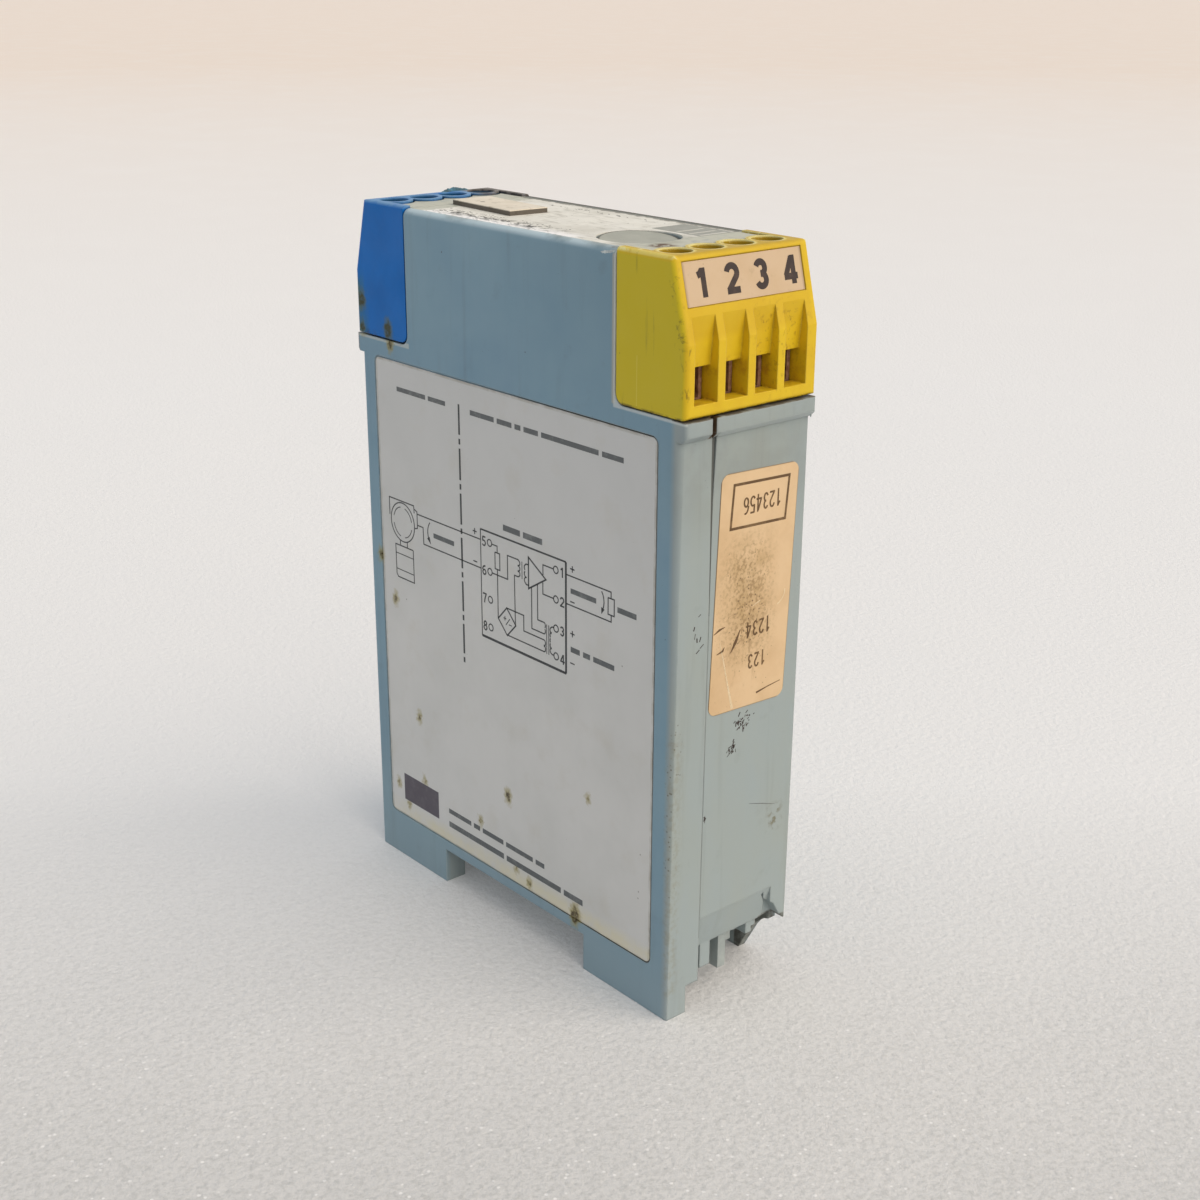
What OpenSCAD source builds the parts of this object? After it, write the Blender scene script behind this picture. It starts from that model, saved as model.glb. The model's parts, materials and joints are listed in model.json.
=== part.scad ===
// Repeater power supply for rail mounting: a slim two-shell case with two terminal blocks.
// Frame: origin on the floor under the middle of the case, +Z up, +X to the yellow end,
// the label side faces -Y. Lengths are in millimetres.

/* [Case] */
// Height from the feet to the top of the case
case_h = 114.3; // [106:0.1:124]
// Thickness of the case
case_w = 25; // [24.6:0.1:32]
// Length over the end faces, at the feet
case_l = 75.4; // [73:0.1:84]
// Lean of each end face, outwards, at the height of the rim
end_lean = 0.5; // [0:0.1:0.9]
// Wall thickness of the case mouldings
wall = 1.5; // [1.2:0.1:1.7]
// Thickness of the top wall
top_t = 2; // [1.8:0.1:2.4]
// Radius of the upright corners
corner_r = 0.6; // [0.4:0.1:1.5]
// Radius of the long top edge over the label side
top_edge_r = 1.2; // [0.5:0.1:1.4]
// Radius of the long top edge on the far side
far_edge_r = 0.3; // [0.1:0.1:1.2]
// Depth of the near shell, from the label side to the seam
near_depth = 6.4; // [5.6:0.1:6.8]
// Height of the rim under the terminal blocks
rim_h = 2.9; // [2:0.1:3.5]
// How far the rim stands out of the end faces
rim_out = 1.2; // [0.6:0.1:1.8]
// Slope under the rim
rim_slope = 0.8; // [0.3:0.1:1.2]
// Width of the gape in the seam, at the rim
gape_w = 0.6; // [0.3:0.1:1.2]
// Length of the gape, down from the rim
gape_l = 14; // [6:1:24]
// Width by which the near shell's rim stops short of the seam at the right end
gape_rim = 1.6; // [0.8:0.1:2]
// Length by which the far shell's rim laps over the seam there
rim_lap = 0.75; // [0.2:0.05:1]
// Step of the left foot out of its end face
foot_step = 0.5; // [0.2:0.1:0.8]
// Height of that step
foot_step_h = 8.5; // [6:0.5:11]

/* [Rail foot] */
// Width of the mounting rail
rail_w = 35; // [32:0.5:36]
// Clearance at each edge of the rail
rail_gap = 0.85; // [0.5:0.05:1.2]
// Height of the rail's seat above the floor
seat_z = 6.2; // [5.8:0.1:6.8]
// Slot between the seat and the hooks, for the rail's edge
rail_slot = 1.3; // [1.1:0.1:1.8]
// Reach of each hook under the rail
hook_reach = 1.2; // [0.8:0.1:1.8]
// Height of the hooks' lower edge above the floor
hook_z = 3; // [2.2:0.1:3.6]
// Thickness of the feet
leg_t = 3.9; // [3:0.1:4.4]
// Height at which the end walls stop between the feet
end_wall_z = 4.6; // [3:0.1:6]
// Height of the compartment floor's underside
floor_z = 9.3; // [9:0.1:10.5]
// Thickness of the compartment floor
floor_t = 1.8; // [1.2:0.1:2.4]
// Height at which the right end wall of the far shell turns inwards
kick_z = 15.2; // [13.5:0.1:18]
// How far it has come in at the floor
kick_in = 1.6; // [1:0.1:2]
// Travel of the rail latch
latch_travel = 2.5; // [1.5:0.1:2.8]
// Width of the rail latch over its wings
latch_w = 7.9; // [7.4:0.1:8.4]
// Offset of the rail latch from the middle of the case
latch_y = 2.1; // [1.6:0.1:2.4]
// Offset of the upright web along the latch
web_y = 1; // [0.6:0.1:1.2]
// Running clearance round the rail latch
latch_gap = 0.25; // [0.15:0.05:0.35]
// Height of the near latch guide's lower edge above the floor
guide_z = 5.2; // [4:0.1:6.8]

/* [Terminal blocks] */
// Height of the pockets for the blocks, down from the top of the case
pocket_h = 21.4; // [20.6:0.1:26]
// Length of each block
block_l = 13.95; // [13.5:0.05:16]
// Clearance between a block and the case
block_gap = 0.25; // [0.15:0.05:0.4]
// How far the blocks stand proud of the top of the case
block_proud = 0.25; // [0.1:0.05:0.6]
// Clearance over the blocks, under the tongues of the case
tongue_gap = 0.4; // [0.35:0.05:0.6]
// How far the blue block has come up out of its seat
blue_lift = 0.1; // [0:0.05:0.3]
// How far the slanted marker face has come in at the top
slant_in = 2.9; // [1.5:0.1:3.5]
// Height of the upright lower face of each block
upright_h = 10.05; // [9:0.05:12]
// Radius of the blocks' upright edges
block_edge_r = 0.8; // [0.4:0.1:1.4]
// Radius of a block's upright edges at the far side
block_far_r = 0.4; // [0.2:0.1:1.2]
// Radius of the blocks' inner bottom corner
block_corner_r = 1.5; // [0.8:0.1:2.2]
// Pitch of the poles
pole_pitch = 5.7; // [5.4:0.05:5.85]
// Offset of the row of poles from the middle of the case
pole_shift = -0.25; // [-0.4:0.05:0.4]
// Diameter of the screw wells
well_d = 4.6; // [4.4:0.05:4.9]
// Distance of the screw wells from the blocks' lower face
well_inset = 6.4; // [6:0.1:7]
// Wall of the raised rims round the screw wells
well_rim = 0.7; // [0.5:0.05:1]
// Width of the wire entries
entry_w = 4.3; // [4.15:0.05:4.5]
// Height of the wire entries
entry_h = 4.8; // [4.4:0.1:5.2]
// Height of the wire entries' sill above the block's underside
sill_h = 1.85; // [1.4:0.05:2.4]
// Depth of the wire entries, from the face to the clamps
entry_depth = 2.7; // [2.2:0.1:3]
// Height of the sloped groove over each entry
groove_h = 6.9; // [5:0.1:7.4]
// Depth of that groove where it meets the entry
groove_depth = 1.6; // [0.8:0.1:2]
// Depth of the recess for the marker
marker_recess = 0.25; // [0.15:0.05:0.5]

/* [Clamps] */
// Diameter of the terminal screws' heads
head_d = 4.1; // [3.6:0.05:4.2]
// Height of the terminal screws' heads
head_h = 2.2; // [1.6:0.1:2.6]
// Diameter of the terminal screws' shanks
shank_d = 2.5; // [2:0.1:2.6]
// Radial clearance of the shanks in the cages
thread_gap = 0.05; // [0.03:0.01:0.1]
// Width of the screwdriver slots
slot_w = 0.8; // [0.5:0.1:1.1]
// Wall of the clamp cages
cage_t = 0.6; // [0.4:0.05:0.65]
// Width of the contact tags
tag_w = 2.6; // [2:0.1:2.7]
// Thickness of the contact tags
tag_t = 1; // [0.6:0.1:1]

/* [Electronics] */
// Thickness of the circuit board
board_t = 1.6; // [1:0.1:1.7]
// Clearance of the board in its guides
board_gap = 0.2; // [0.1:0.05:0.3]
// Offset of the board from the middle of the case
board_shift = -0.1; // [-0.15:0.05:0.05]
// Length of the power transformer's core
core_l = 18; // [15:0.5:22]
// Width of the power transformer's core
core_w = 16; // [14.5:0.5:20]
// Outer diameter of the signal transformer's ring core
ring_d = 13; // [12:0.5:15]
// Diameter of the electrolytic capacitors
can_d = 8; // [6:0.5:9]
// Clearance between the electrolytic capacitors and the near wall
can_gap = 0.9; // [0.5:0.1:3]
// Length of the film capacitors
film_cap_l = 7.2; // [5:0.1:8]
// Height of the film capacitors
film_cap_h = 6.2; // [4:0.1:8]
// Length of the amplifier chips
chip_l = 9.6; // [9:0.1:10.4]
// Width of the pass transistors
transistor_w = 10; // [9:0.1:10.6]
// Length of the fuse's potted block
fuse_block_l = 14; // [11:0.5:16]
// Height of the fuse's potted block
fuse_block_h = 6; // [5:0.1:8]
// Diameter of the barrier diodes
barrier_diode_d = 3.2; // [2.4:0.1:4]
// Diameter of the bridge diodes
bridge_diode_d = 2.6; // [2:0.1:3.2]
// Diameter of the resistors
resistor_d = 2.4; // [1.8:0.1:3]
// Radius of the wire leads
lead_r = 0.3; // [0.2:0.05:0.4]

/* [Labels and top] */
// Thickness of the label films
film_t = 0.15; // [0.08:0.01:0.18]
// Depth of the recesses that hold the label films
film_recess = 0.2; // [0.18:0.01:0.3]
// Margin of the films inside their recesses
film_margin = 0.25; // [0.15:0.05:0.5]
// Length of the label on the near side
side_label_l = 68; // [60:0.5:69]
// Distance of that label from the top of the rim
side_label_drop = 3.1; // [2:0.1:8]
// Distance of that label from the rail's seat
side_label_rise = 2; // [1:0.1:8]
// Diameter of the round cap
cap_d = 11.6; // [10:0.1:13]
// Thickness of the round cap
cap_t = 0.5; // [0.4:0.05:0.6]
// Clearance round the cap in its bed
cap_gap = 0.2; // [0.1:0.05:0.3]
// Distance of the cap from the near side
cap_inset = 3.6; // [2.8:0.1:6]
// Tilt of the round cap in its bed
cap_tilt = 4.7; // [0:0.1:4.8]
// Length of the tag plate
tag_plate_l = 16; // [10:0.5:20]
// Width of the tag plate
tag_plate_w = 6.9; // [4:0.1:9]
// Thickness of the tag plate
tag_plate_t = 0.8; // [0.4:0.05:1.2]
// Length of the test sticker, up the right end face
sticker_l = 36; // [25:0.5:40]
// Width of the test sticker
sticker_w = 15.4; // [12:0.1:15.6]
// Thickness of the test sticker
sticker_t = 0.08; // [0.05:0.01:0.15]

/* [Hidden] */
$fn = 48;

case_colour = "#8CA3AC";
blue_colour = "#1F68B5";
yellow_colour = "#E0BD2A";
film_colour = "#DADAD4";
cream_colour = "#E4CDB0";
board_colour = "#2F6B3C";
steel_colour = "#8A7A68";
brass_colour = "#A5804A";
ferrite_colour = "#3A3A3C";
copper_colour = "#A65B32";
black_colour = "#26262A";

// Case
half_w = case_w / 2;
inner_y = half_w - wall;
end_x = case_l / 2;
rim_top = case_h - pocket_h;
rim_x = end_x + end_lean + rim_out;
lean_angle = atan(end_lean / rim_top);
seam_y = -half_w + near_depth;
inner_x = end_x - wall;
compartment_z = floor_z + floor_t;
lap_gap = 0.1;
shelf_t = 1.8;
shelf_z = rim_top - shelf_t;
over = 1;

// Terminal blocks
block_x1 = rim_x - 0.3;
block_x0 = block_x1 - block_l;
pocket_x = block_x0 - block_gap;
block_z0 = rim_top + block_gap;
block_top = case_h + block_proud;
upright_top = block_z0 + upright_h;
slant_h = block_top - upright_top;
slant_angle = atan(slant_in / slant_h);
slant_l = sqrt(slant_h * slant_h + slant_in * slant_in);
slant_x = block_x1 - slant_in;
well_x = block_x1 - well_inset;
rim_r = well_d / 2 + well_rim;
pole_y = [for (i = [0:3]) pole_shift + (i - 1.5) * pole_pitch];
tongue_y = inner_y - block_gap;
rebate_z = case_h - top_t - tongue_gap;
shelf_in = 1.9;
spigot_x = pocket_x - 1.35;
spigot_gap = 0.2;

// Heights inside a terminal block, up from its underside
entry_z0 = block_z0 + sill_h;
entry_z1 = entry_z0 + entry_h;
tag_z = entry_z1 + 0.1;
cage_z0 = block_z0 + 1.4;
cage_z1 = tag_z + tag_t + 2.5;
chamber_z1 = cage_z1 + 1.2;
ledge_z = chamber_z1 + 1.6;
chamber_x1 = block_x1 - entry_depth;
cage_x0 = well_x - 2.3;
cage_x1 = chamber_x1 - 0.3;
chamber_x0 = cage_x0 - 0.3;
cage_w = entry_w - 0.3;
cage_top_t = 1.5;

// Rail foot
notch_x = rail_w / 2 + rail_gap;
hook_tip_x = rail_w / 2 - hook_reach;
hook_top = seat_z - rail_slot;
stem_t = 2.3;
latch_side = latch_w / 2;
guide_t = 2.1;
wing_t = 1.1;
wing_z1 = floor_z - latch_gap;
wing_z0 = wing_z1 - wing_t;
ledge_t = 0.8;
wing_in = 0.8;
latch_x0 = notch_x + 3;
latch_x1 = end_x - 4.3;
web_t = 1.6;
web_x1 = end_x - 2.1;
web_z0 = 3.2;
window_x0 = latch_x0 + 1.8;
window_x1 = latch_x1 - 1.4;
window_w = 2.3;
window_y = web_y + web_t / 2 + 0.2 + window_w / 2;
anchor_x1 = window_x1 - 0.3;
anchor_t = 1;
spring_x0 = window_x0;
spring_x1 = anchor_x1 - anchor_t;
spring_wire = 0.35;
spring_r = 0.82;
spring_turns = 6;
spring_z = floor_z - latch_gap - 1.4;

// Board and what stands on it
board_y0 = board_shift - board_t / 2;
board_y1 = board_shift + board_t / 2;
board_x = inner_x - 0.4;
board_z0 = compartment_z + board_gap;
board_z1 = shelf_z - 2;
board_top = case_h - top_t - 1;
board_neck_x = pocket_x - shelf_in - 0.3;

// Labels and top
cap_x = pocket_x - cap_d / 2;
cap_y = -half_w + cap_inset + cap_d / 2;
cap_turn = -18;
cap_rest = 0.02;
cap_bed_depth = cap_d * sin(cap_tilt) + cap_t + cap_rest;
side_label_x = -0.3;
side_label_z0 = seat_z + side_label_rise;
side_label_z1 = rim_top - side_label_drop;
top_label_y0 = -half_w + 1.5;
top_label_y1 = half_w - 1.3;
tag_plate_x = -pocket_x + 0.6 + tag_plate_l / 2;

// Shapes shared by the pieces below

module box(low, high) {
    translate(low) cube(high - low);
}

// A drawing in X and Z, extruded from y0 to y1
module along_y(y0, y1) {
    translate([0, y1, 0]) rotate([90, 0, 0]) linear_extrude(y1 - y0) children();
}

// A drawing in Y and Z, extruded from x0 to x1
module along_x(x0, x1) {
    translate([x0, 0, 0]) rotate([90, 0, 90]) linear_extrude(x1 - x0) children();
}

// A drawing in X and Y, extruded from z0 to z1
module along_z(z0, z1) {
    translate([0, 0, z0]) linear_extrude(z1 - z0) children();
}

module rounded_rect(low, high, r) {
    translate([low[0] + r, low[1]]) square([high[0] - low[0] - 2 * r, high[1] - low[1]]);
    translate([low[0], low[1] + r]) square([high[0] - low[0], high[1] - low[1] - 2 * r]);
    for (x = [low[0] + r, high[0] - r])
        for (y = [low[1] + r, high[1] - r])
            translate([x, y]) circle(r);
}

// What a round corner of radius r leaves out, in the corner at the origin
module corner_scrap(r) {
    difference() {
        translate([-over, -over]) square(r + over);
        translate([r, r]) circle(r);
    }
}

// A plan with one corner radius at the near side and another at the far side
module plan_rect(low, high, near_r, far_r) {
    difference() {
        translate(low) square(high - low);
        translate(low) corner_scrap(near_r);
        translate([high[0], low[1]]) mirror([1, 0]) corner_scrap(near_r);
        translate([low[0], high[1]]) mirror([0, 1]) corner_scrap(far_r);
        translate(high) rotate(180) corner_scrap(far_r);
    }
}

module both_ends() {
    children();
    mirror([1, 0, 0]) children();
}

// Case

// Side view of the case without the rim: upright ends that lean out, and the pockets
module case_outline() {
    difference() {
        union() {
            polygon([
                [-end_x - foot_step, 0],
                [end_x, 0],
                [end_x + end_lean, rim_top],
                [pocket_x, rim_top],
                [pocket_x, case_h],
                [-pocket_x, case_h],
                [-pocket_x, rim_top],
                [-end_x - end_lean, rim_top],
                [-end_x, foot_step_h],
                [-end_x - foot_step, foot_step_h]
            ]);
            both_ends() translate([pocket_x, rim_top]) corner_scrap(block_corner_r + block_gap);
        }
        translate([-notch_x, -over]) square([2 * notch_x, seat_z + over]);
    }
}

// Plan of the tongue that lies on a terminal block, scalloped round the rims of the wells
module tongue_outline() {
    difference() {
        translate([pocket_x - over, -tongue_y]) square([well_x - pocket_x + over, 2 * tongue_y]);
        for (y = pole_y) translate([well_x, y]) circle(rim_r + block_gap);
    }
}

// End view of the case over its feet
module case_section() {
    difference() {
        translate([-half_w, -over]) square([case_w, case_h + over]);
        translate([-half_w, case_h]) mirror([0, 1]) corner_scrap(top_edge_r);
        translate([half_w, case_h]) rotate(180) corner_scrap(far_edge_r);
    }
}

// The rim under the terminal blocks, sloped at its underside
module rim() {
    intersection() {
        along_z(rim_top - rim_h, rim_top) plan_rect([-rim_x, -half_w], [rim_x, half_w], corner_r, far_edge_r);
        along_y(-half_w - over, half_w + over) polygon([
            [rim_x, rim_top],
            [rim_x, rim_top - rim_h + rim_slope],
            [rim_x - rim_slope, rim_top - rim_h],
            [-rim_x + rim_slope, rim_top - rim_h],
            [-rim_x, rim_top - rim_h + rim_slope],
            [-rim_x, rim_top]
        ]);
    }
}

module case_body() {
    intersection() {
        along_y(-half_w, half_w) case_outline();
        along_z(-over, case_h + over)
            plan_rect([-end_x - end_lean, -half_w], [end_x + end_lean, half_w], corner_r + end_lean, far_edge_r);
        along_x(-rim_x, rim_x) case_section();
    }
    rim();
    both_ends() along_z(case_h - top_t, case_h) tongue_outline();
}

// The hollow for the electronics, open above the shelves towards the terminal blocks
module compartment() {
    along_y(-inner_y, inner_y) polygon([
        [-inner_x, compartment_z],
        [inner_x - kick_in, compartment_z],
        [inner_x, kick_z],
        [inner_x + end_lean, shelf_z],
        [-inner_x - end_lean, shelf_z]
    ]);
    box([-pocket_x + shelf_in, -inner_y, shelf_z - over], [pocket_x - shelf_in, inner_y, case_h - top_t]);
    box([-well_x, -inner_y, rim_top], [well_x, inner_y, case_h - top_t]);
}

// The open space under the floor: between the feet, and between the side walls over the rail
module underside() {
    box([-inner_x, -half_w + leg_t, -over], [inner_x, half_w - leg_t, floor_z]);
    box([-notch_x, -inner_y, -over], [notch_x, inner_y, floor_z]);
    box([-rim_x, -half_w + leg_t, -over], [rim_x, half_w - leg_t, end_wall_z]);
}

// Bed of the round cap in the top wall
module cap_bed() {
    translate([cap_x, cap_y, case_h - cap_bed_depth])
        cylinder(h = cap_bed_depth + over, d = cap_d + 2 * cap_gap);
}

module top_label_outline(margin) {
    translate([-pocket_x + 0.3 - margin, top_label_y0 - margin])
        square([2 * pocket_x - 0.6 + 2 * margin, top_label_y1 - top_label_y0 + 2 * margin]);
}

module side_label_outline(margin) {
    translate([side_label_x, 0])
        rounded_rect([-side_label_l / 2 - margin, side_label_z0 - margin],
            [side_label_l / 2 + margin, side_label_z1 + margin], 1 + margin);
}

module shell_blank() {
    difference() {
        case_body();
        compartment();
        underside();
        cap_bed();
        along_z(case_h - film_recess, case_h + over) top_label_outline(0.1);
    }
}

// Snap lugs: tongues of the near shell that reach behind the far shell's end walls
lug_z = [compartment_z + 12, shelf_z - 22];
lug_h = 8;
lug_t = 1.2;
lug_reach = 3.2;
lug_gap = 0.2;
lug_bump = 0.5;

module snap_lugs() {
    for (z = lug_z) {
        box([inner_x - lug_gap - lug_t, -inner_y - 0.5, z], [inner_x - lug_gap, seam_y + lug_reach, z + lug_h]);
        box([inner_x - lug_gap - lug_t, -inner_y - 0.5, z], [inner_x + wall / 2, seam_y, z + lug_h]);
        translate([inner_x - lug_gap, seam_y + lug_reach - 1.2, z]) cylinder(h = lug_h, r = lug_bump);
    }
}

module snap_sockets() {
    for (z = lug_z)
        translate([inner_x - lug_gap, seam_y + lug_reach - 1.2, z - 0.5])
            cylinder(h = lug_h + 1, r = lug_bump + 0.3);
}

module near_shell() {
    color(case_colour) {
        difference() {
            intersection() {
                shell_blank();
                box([-rim_x - over, -half_w - over, -over], [rim_x + over, seam_y, case_h + over]);
            }
            along_y(-half_w - over, -half_w + film_recess) side_label_outline(film_margin);
            box([end_x + end_lean, seam_y - gape_rim, rim_top - rim_h - over],
                [rim_x + over, seam_y + over, rim_top + over]);
        }
        both_ends() snap_lugs();
    }
}

// The break at the right foot of the far shell

// Side view of what broke off the far side wall
module broken_side() {
    polygon([
        [end_x - 8.2, -over],
        [end_x - 8.2, 0],
        [end_x - 5.5, 4.9],
        [end_x - 4.7, 6],
        [end_x - 2.7, 7.7],
        [end_x - 0.1, 8.6],
        [end_x + over, 8.7],
        [end_x + over, -over]
    ]);
}

// End view of the tear between the inward wall and the flap of the corner
module torn_end() {
    polygon([
        [half_w - 4.7, kick_z - 0.5],
        [half_w - 4.2, kick_z - 2],
        [half_w - 2.5, kick_z - 3.25],
        [half_w - 1.2, kick_z - 5.5],
        [half_w - 0.3, kick_z - 6.5],
        [half_w + over, kick_z - 6.6],
        [half_w + over, -over],
        [half_w - 3.6, -over],
        [half_w - 3.6, kick_z - 4.7],
        [half_w - 3.9, kick_z - 2.9],
        [half_w - 5, kick_z - 0.9]
    ]);
}

// Side view of what lies outside the inward wall and under the floor at the right end
module kick_outline() {
    polygon([
        [rim_x, kick_z],
        [end_x, kick_z],
        [end_x - kick_in, floor_z],
        [notch_x, floor_z],
        [notch_x, -over],
        [rim_x, -over]
    ]);
}

// Guides of the rail latch: two walls with a ledge under the latch's wings, and the end stop
module latch_guides() {
    y0 = latch_y - latch_side - latch_gap;
    y1 = latch_y + latch_side + latch_gap;
    guide_z0 = wing_z0 - latch_gap - ledge_t;
    guide_x0 = latch_x0 - latch_gap - 1.2;
    box([guide_x0, y0 - guide_t, guide_z], [end_x - kick_in, y0, floor_z + 0.5]);
    box([guide_x0, y1, guide_z0], [end_x - kick_in - 0.6, y1 + guide_t, floor_z + 0.5]);
    for (y = [y0 - 0.1, y1 - wing_in])
        box([guide_x0, y, guide_z0], [latch_x1, y + wing_in + 0.1, guide_z0 + ledge_t]);
    for (y = [y0 - 0.1, y1 - wing_in])
        box([guide_x0, y, guide_z0], [latch_x0 - latch_gap, y + wing_in + 0.1, floor_z + 0.5]);
    box([anchor_x1 - anchor_t, window_y - window_w / 2 + 0.3, spring_z - 1],
        [anchor_x1, window_y + window_w / 2 - 0.3, floor_z + 0.5]);
}

// Side view of a hook that holds the rail's right edge
module hook_outline(root_z) {
    polygon([
        [hook_tip_x, hook_top],
        [notch_x + 0.2, hook_top],
        [notch_x + 0.2, root_z],
        [notch_x + 0.2 + stem_t, root_z],
        [notch_x + 0.2 + stem_t, hook_z],
        [hook_tip_x + 1.4, hook_z],
        [hook_tip_x, hook_top - 0.6]
    ]);
}

// Guide ribs for the board's edges, on both end walls
module board_ribs() {
    rib_t = 1.2;
    rib_in = 1.6;
    for (y = [board_y0 - board_gap - rib_t, board_y1 + board_gap])
        box([inner_x - rib_in, y, kick_z], [inner_x + wall / 2, y + rib_t, board_z1 - 4]);
}

// What the far shell's rim laps over the seam at the right end
module seam_lap() {
    intersection() {
        rim();
        box([end_x + end_lean + lap_gap, seam_y - rim_lap, rim_top - rim_h - over],
            [rim_x + over, seam_y + gape_w + over, rim_top + over]);
    }
}

module far_shell() {
    color(case_colour) {
        difference() {
            union() {
                difference() {
                    intersection() {
                        shell_blank();
                        box([-rim_x - over, seam_y, -over], [rim_x + over, half_w + over, case_h + over]);
                    }
                    along_y(seam_y - over, half_w - 3.3) kick_outline();
                    box([notch_x + 1.2, half_w - leg_t - over, -over], [inner_x, inner_y, floor_z]);
                    both_ends() snap_sockets();
                }
                latch_guides();
                mirror([1, 0, 0])
                    along_y(latch_y - latch_side, latch_y + latch_side) hook_outline(floor_z + 0.5);
                both_ends() board_ribs();
            }
            along_y(half_w - 5, half_w + over) broken_side();
            along_x(inner_x - 0.3, rim_x + over) torn_end();
            along_x(inner_x - over, rim_x + over)
                polygon([[seam_y - over, rim_top + over], [seam_y - over, rim_top - gape_l],
                    [seam_y, rim_top - gape_l], [seam_y + gape_w, rim_top + over]]);
        }
        seam_lap();
    }
}

// Terminal blocks, drawn for the right end

module block_outline() {
    r = block_edge_r;
    centre = [slant_x + r * tan(slant_angle) - r / cos(slant_angle), block_top - r];
    difference() {
        polygon([
            [block_x0, block_z0],
            [block_x1, block_z0],
            [block_x1, upright_top],
            [slant_x, block_top],
            [block_x0, block_top]
        ]);
        difference() {
            polygon([
                centre,
                centre + r * [cos(slant_angle), sin(slant_angle)],
                [slant_x + over, block_top + over],
                centre + [0, r]
            ]);
            translate(centre) circle(r);
        }
        translate([block_x0, block_z0]) corner_scrap(block_corner_r);
        translate([block_x1, block_z0]) mirror([1, 0]) corner_scrap(0.6);
    }
}

module block_plan() {
    plan_rect([block_x0 - 5, -half_w], [block_x1, half_w], block_edge_r, block_far_r);
}

// Turns children drawn on the upright face so that they follow the slanted face
module on_slant() {
    translate([block_x1, 0, upright_top]) rotate([0, -slant_angle, 0]) children();
}

module marker_outline(margin) {
    translate([-half_w + 1.3 - margin, slant_l - 6.8 - margin])
        square([case_w - 2.8 + 2 * margin, 5.9 + 2 * margin]);
}

module block_body() {
    intersection() {
        along_y(-half_w, half_w) block_outline();
        along_z(0, block_top + over) block_plan();
        on_slant() translate([-block_x1, 0, 0]) along_z(-40, 40) block_plan();
        along_x(block_x0 - over, block_x1 + over) rounded_rect([-half_w, 0], [half_w, block_top], 0.6);
    }
    box([spigot_x, -inner_y + spigot_gap, block_z0 + 0.3],
        [block_x0 + over, inner_y - spigot_gap, rebate_z]);
}

// Room for the tongue of the case, with the rims of the wells left standing
module tongue_rebate() {
    difference() {
        box([spigot_x - over, -inner_y, rebate_z], [well_x, inner_y, block_top + over]);
        for (y = pole_y) translate([well_x, y, rebate_z - over]) cylinder(h = 10, r = rim_r);
    }
}

// The hollows of one pole: clamp chamber, wire entry with its groove, well, and slot for the tag
module pole_hollows() {
    half = entry_w / 2;
    box([chamber_x0, -half, block_z0 - over], [chamber_x1, half, chamber_z1]);
    box([chamber_x1 - over, -half, entry_z0], [block_x1 + over, half, entry_z1]);
    along_y(-half, half) polygon([
        [block_x1 - (entry_z1 + groove_h - upright_top) * slant_in / slant_h, entry_z1 + groove_h],
        [block_x1 - groove_depth, entry_z1],
        [block_x1 - groove_depth, entry_z1 - 0.5],
        [block_x1 + over, entry_z1 - 0.5],
        [block_x1 + over, entry_z1 + groove_h]
    ]);
    box([spigot_x - over, -tag_w / 2 - 0.1, tag_z - 0.05], [chamber_x0 + over, tag_w / 2 + 0.1, tag_z + tag_t + 0.05]);
    translate([well_x, 0, chamber_z1 - over]) cylinder(h = ledge_z - chamber_z1 + 2 * over, d = shank_d + 0.5);
    translate([well_x, 0, ledge_z]) cylinder(h = block_top - ledge_z + over, d = well_d);
}

module terminal_block() {
    difference() {
        block_body();
        tongue_rebate();
        for (y = pole_y) translate([0, y, 0]) pole_hollows();
        on_slant() along_x(-marker_recess, over) marker_outline(0.12);
    }
}

// Puts what is drawn for the right end at the left end, as far up as the blue block has come
module lifted() {
    translate([0, 0, blue_lift]) mirror([1, 0, 0]) children();
}

module blue_terminal_block() {
    color(blue_colour) lifted() terminal_block();
}

module yellow_terminal_block() {
    color(yellow_colour) terminal_block();
}

module terminal_screw(turn) {
    slot_depth = head_h * 0.55;
    translate([well_x, 0, ledge_z]) difference() {
        union() {
            cylinder(h = head_h, d = head_d);
            translate([0, 0, tag_z + tag_t - ledge_z]) cylinder(h = ledge_z - tag_z - tag_t + 0.5, d = shank_d);
        }
        translate([0, 0, head_h - slot_depth]) rotate([0, 0, turn])
            translate([-head_d, -slot_w / 2, 0]) cube([2 * head_d, slot_w, slot_depth + over]);
    }
}

screw_turns = [20, 75, 130, 40];

module terminal_screws() {
    for (i = [0:3]) translate([0, pole_y[i], 0]) terminal_screw(screw_turns[i]);
}

module blue_terminal_screws() {
    color(steel_colour) lifted() terminal_screws();
}

module yellow_terminal_screws() {
    color(steel_colour) terminal_screws();
}

// A clamp cage: a bent steel box open towards the wire, with a thick threaded top
module clamp_cage() {
    difference() {
        box([cage_x0, -cage_w / 2, cage_z0], [cage_x1, cage_w / 2, cage_z1]);
        box([cage_x0 - over, -cage_w / 2 + cage_t, cage_z0 + cage_t],
            [cage_x1 + over, cage_w / 2 - cage_t, cage_z1 - cage_top_t]);
        translate([well_x, 0, cage_z0 + 2]) cylinder(h = 12, d = shank_d + 2 * thread_gap);
    }
}

module clamp_cages() {
    for (y = pole_y) translate([0, y, 0]) clamp_cage();
}

module blue_clamp_cages() {
    color(steel_colour) lifted() clamp_cages();
}

module yellow_clamp_cages() {
    color(steel_colour) clamp_cages();
}

// A contact tag: a tongue through the cage, a leg behind the block and a foot on the board.
// The outer poles' feet pass under the inner poles' legs.
tag_leg_x = spigot_x - 2;
tag_foot_z = [tag_z - 5, tag_z - 2.5, tag_z - 2.5, tag_z - 5];
tag_tongue_w = min(tag_w, cage_w - 2 * cage_t - 0.2);

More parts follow.
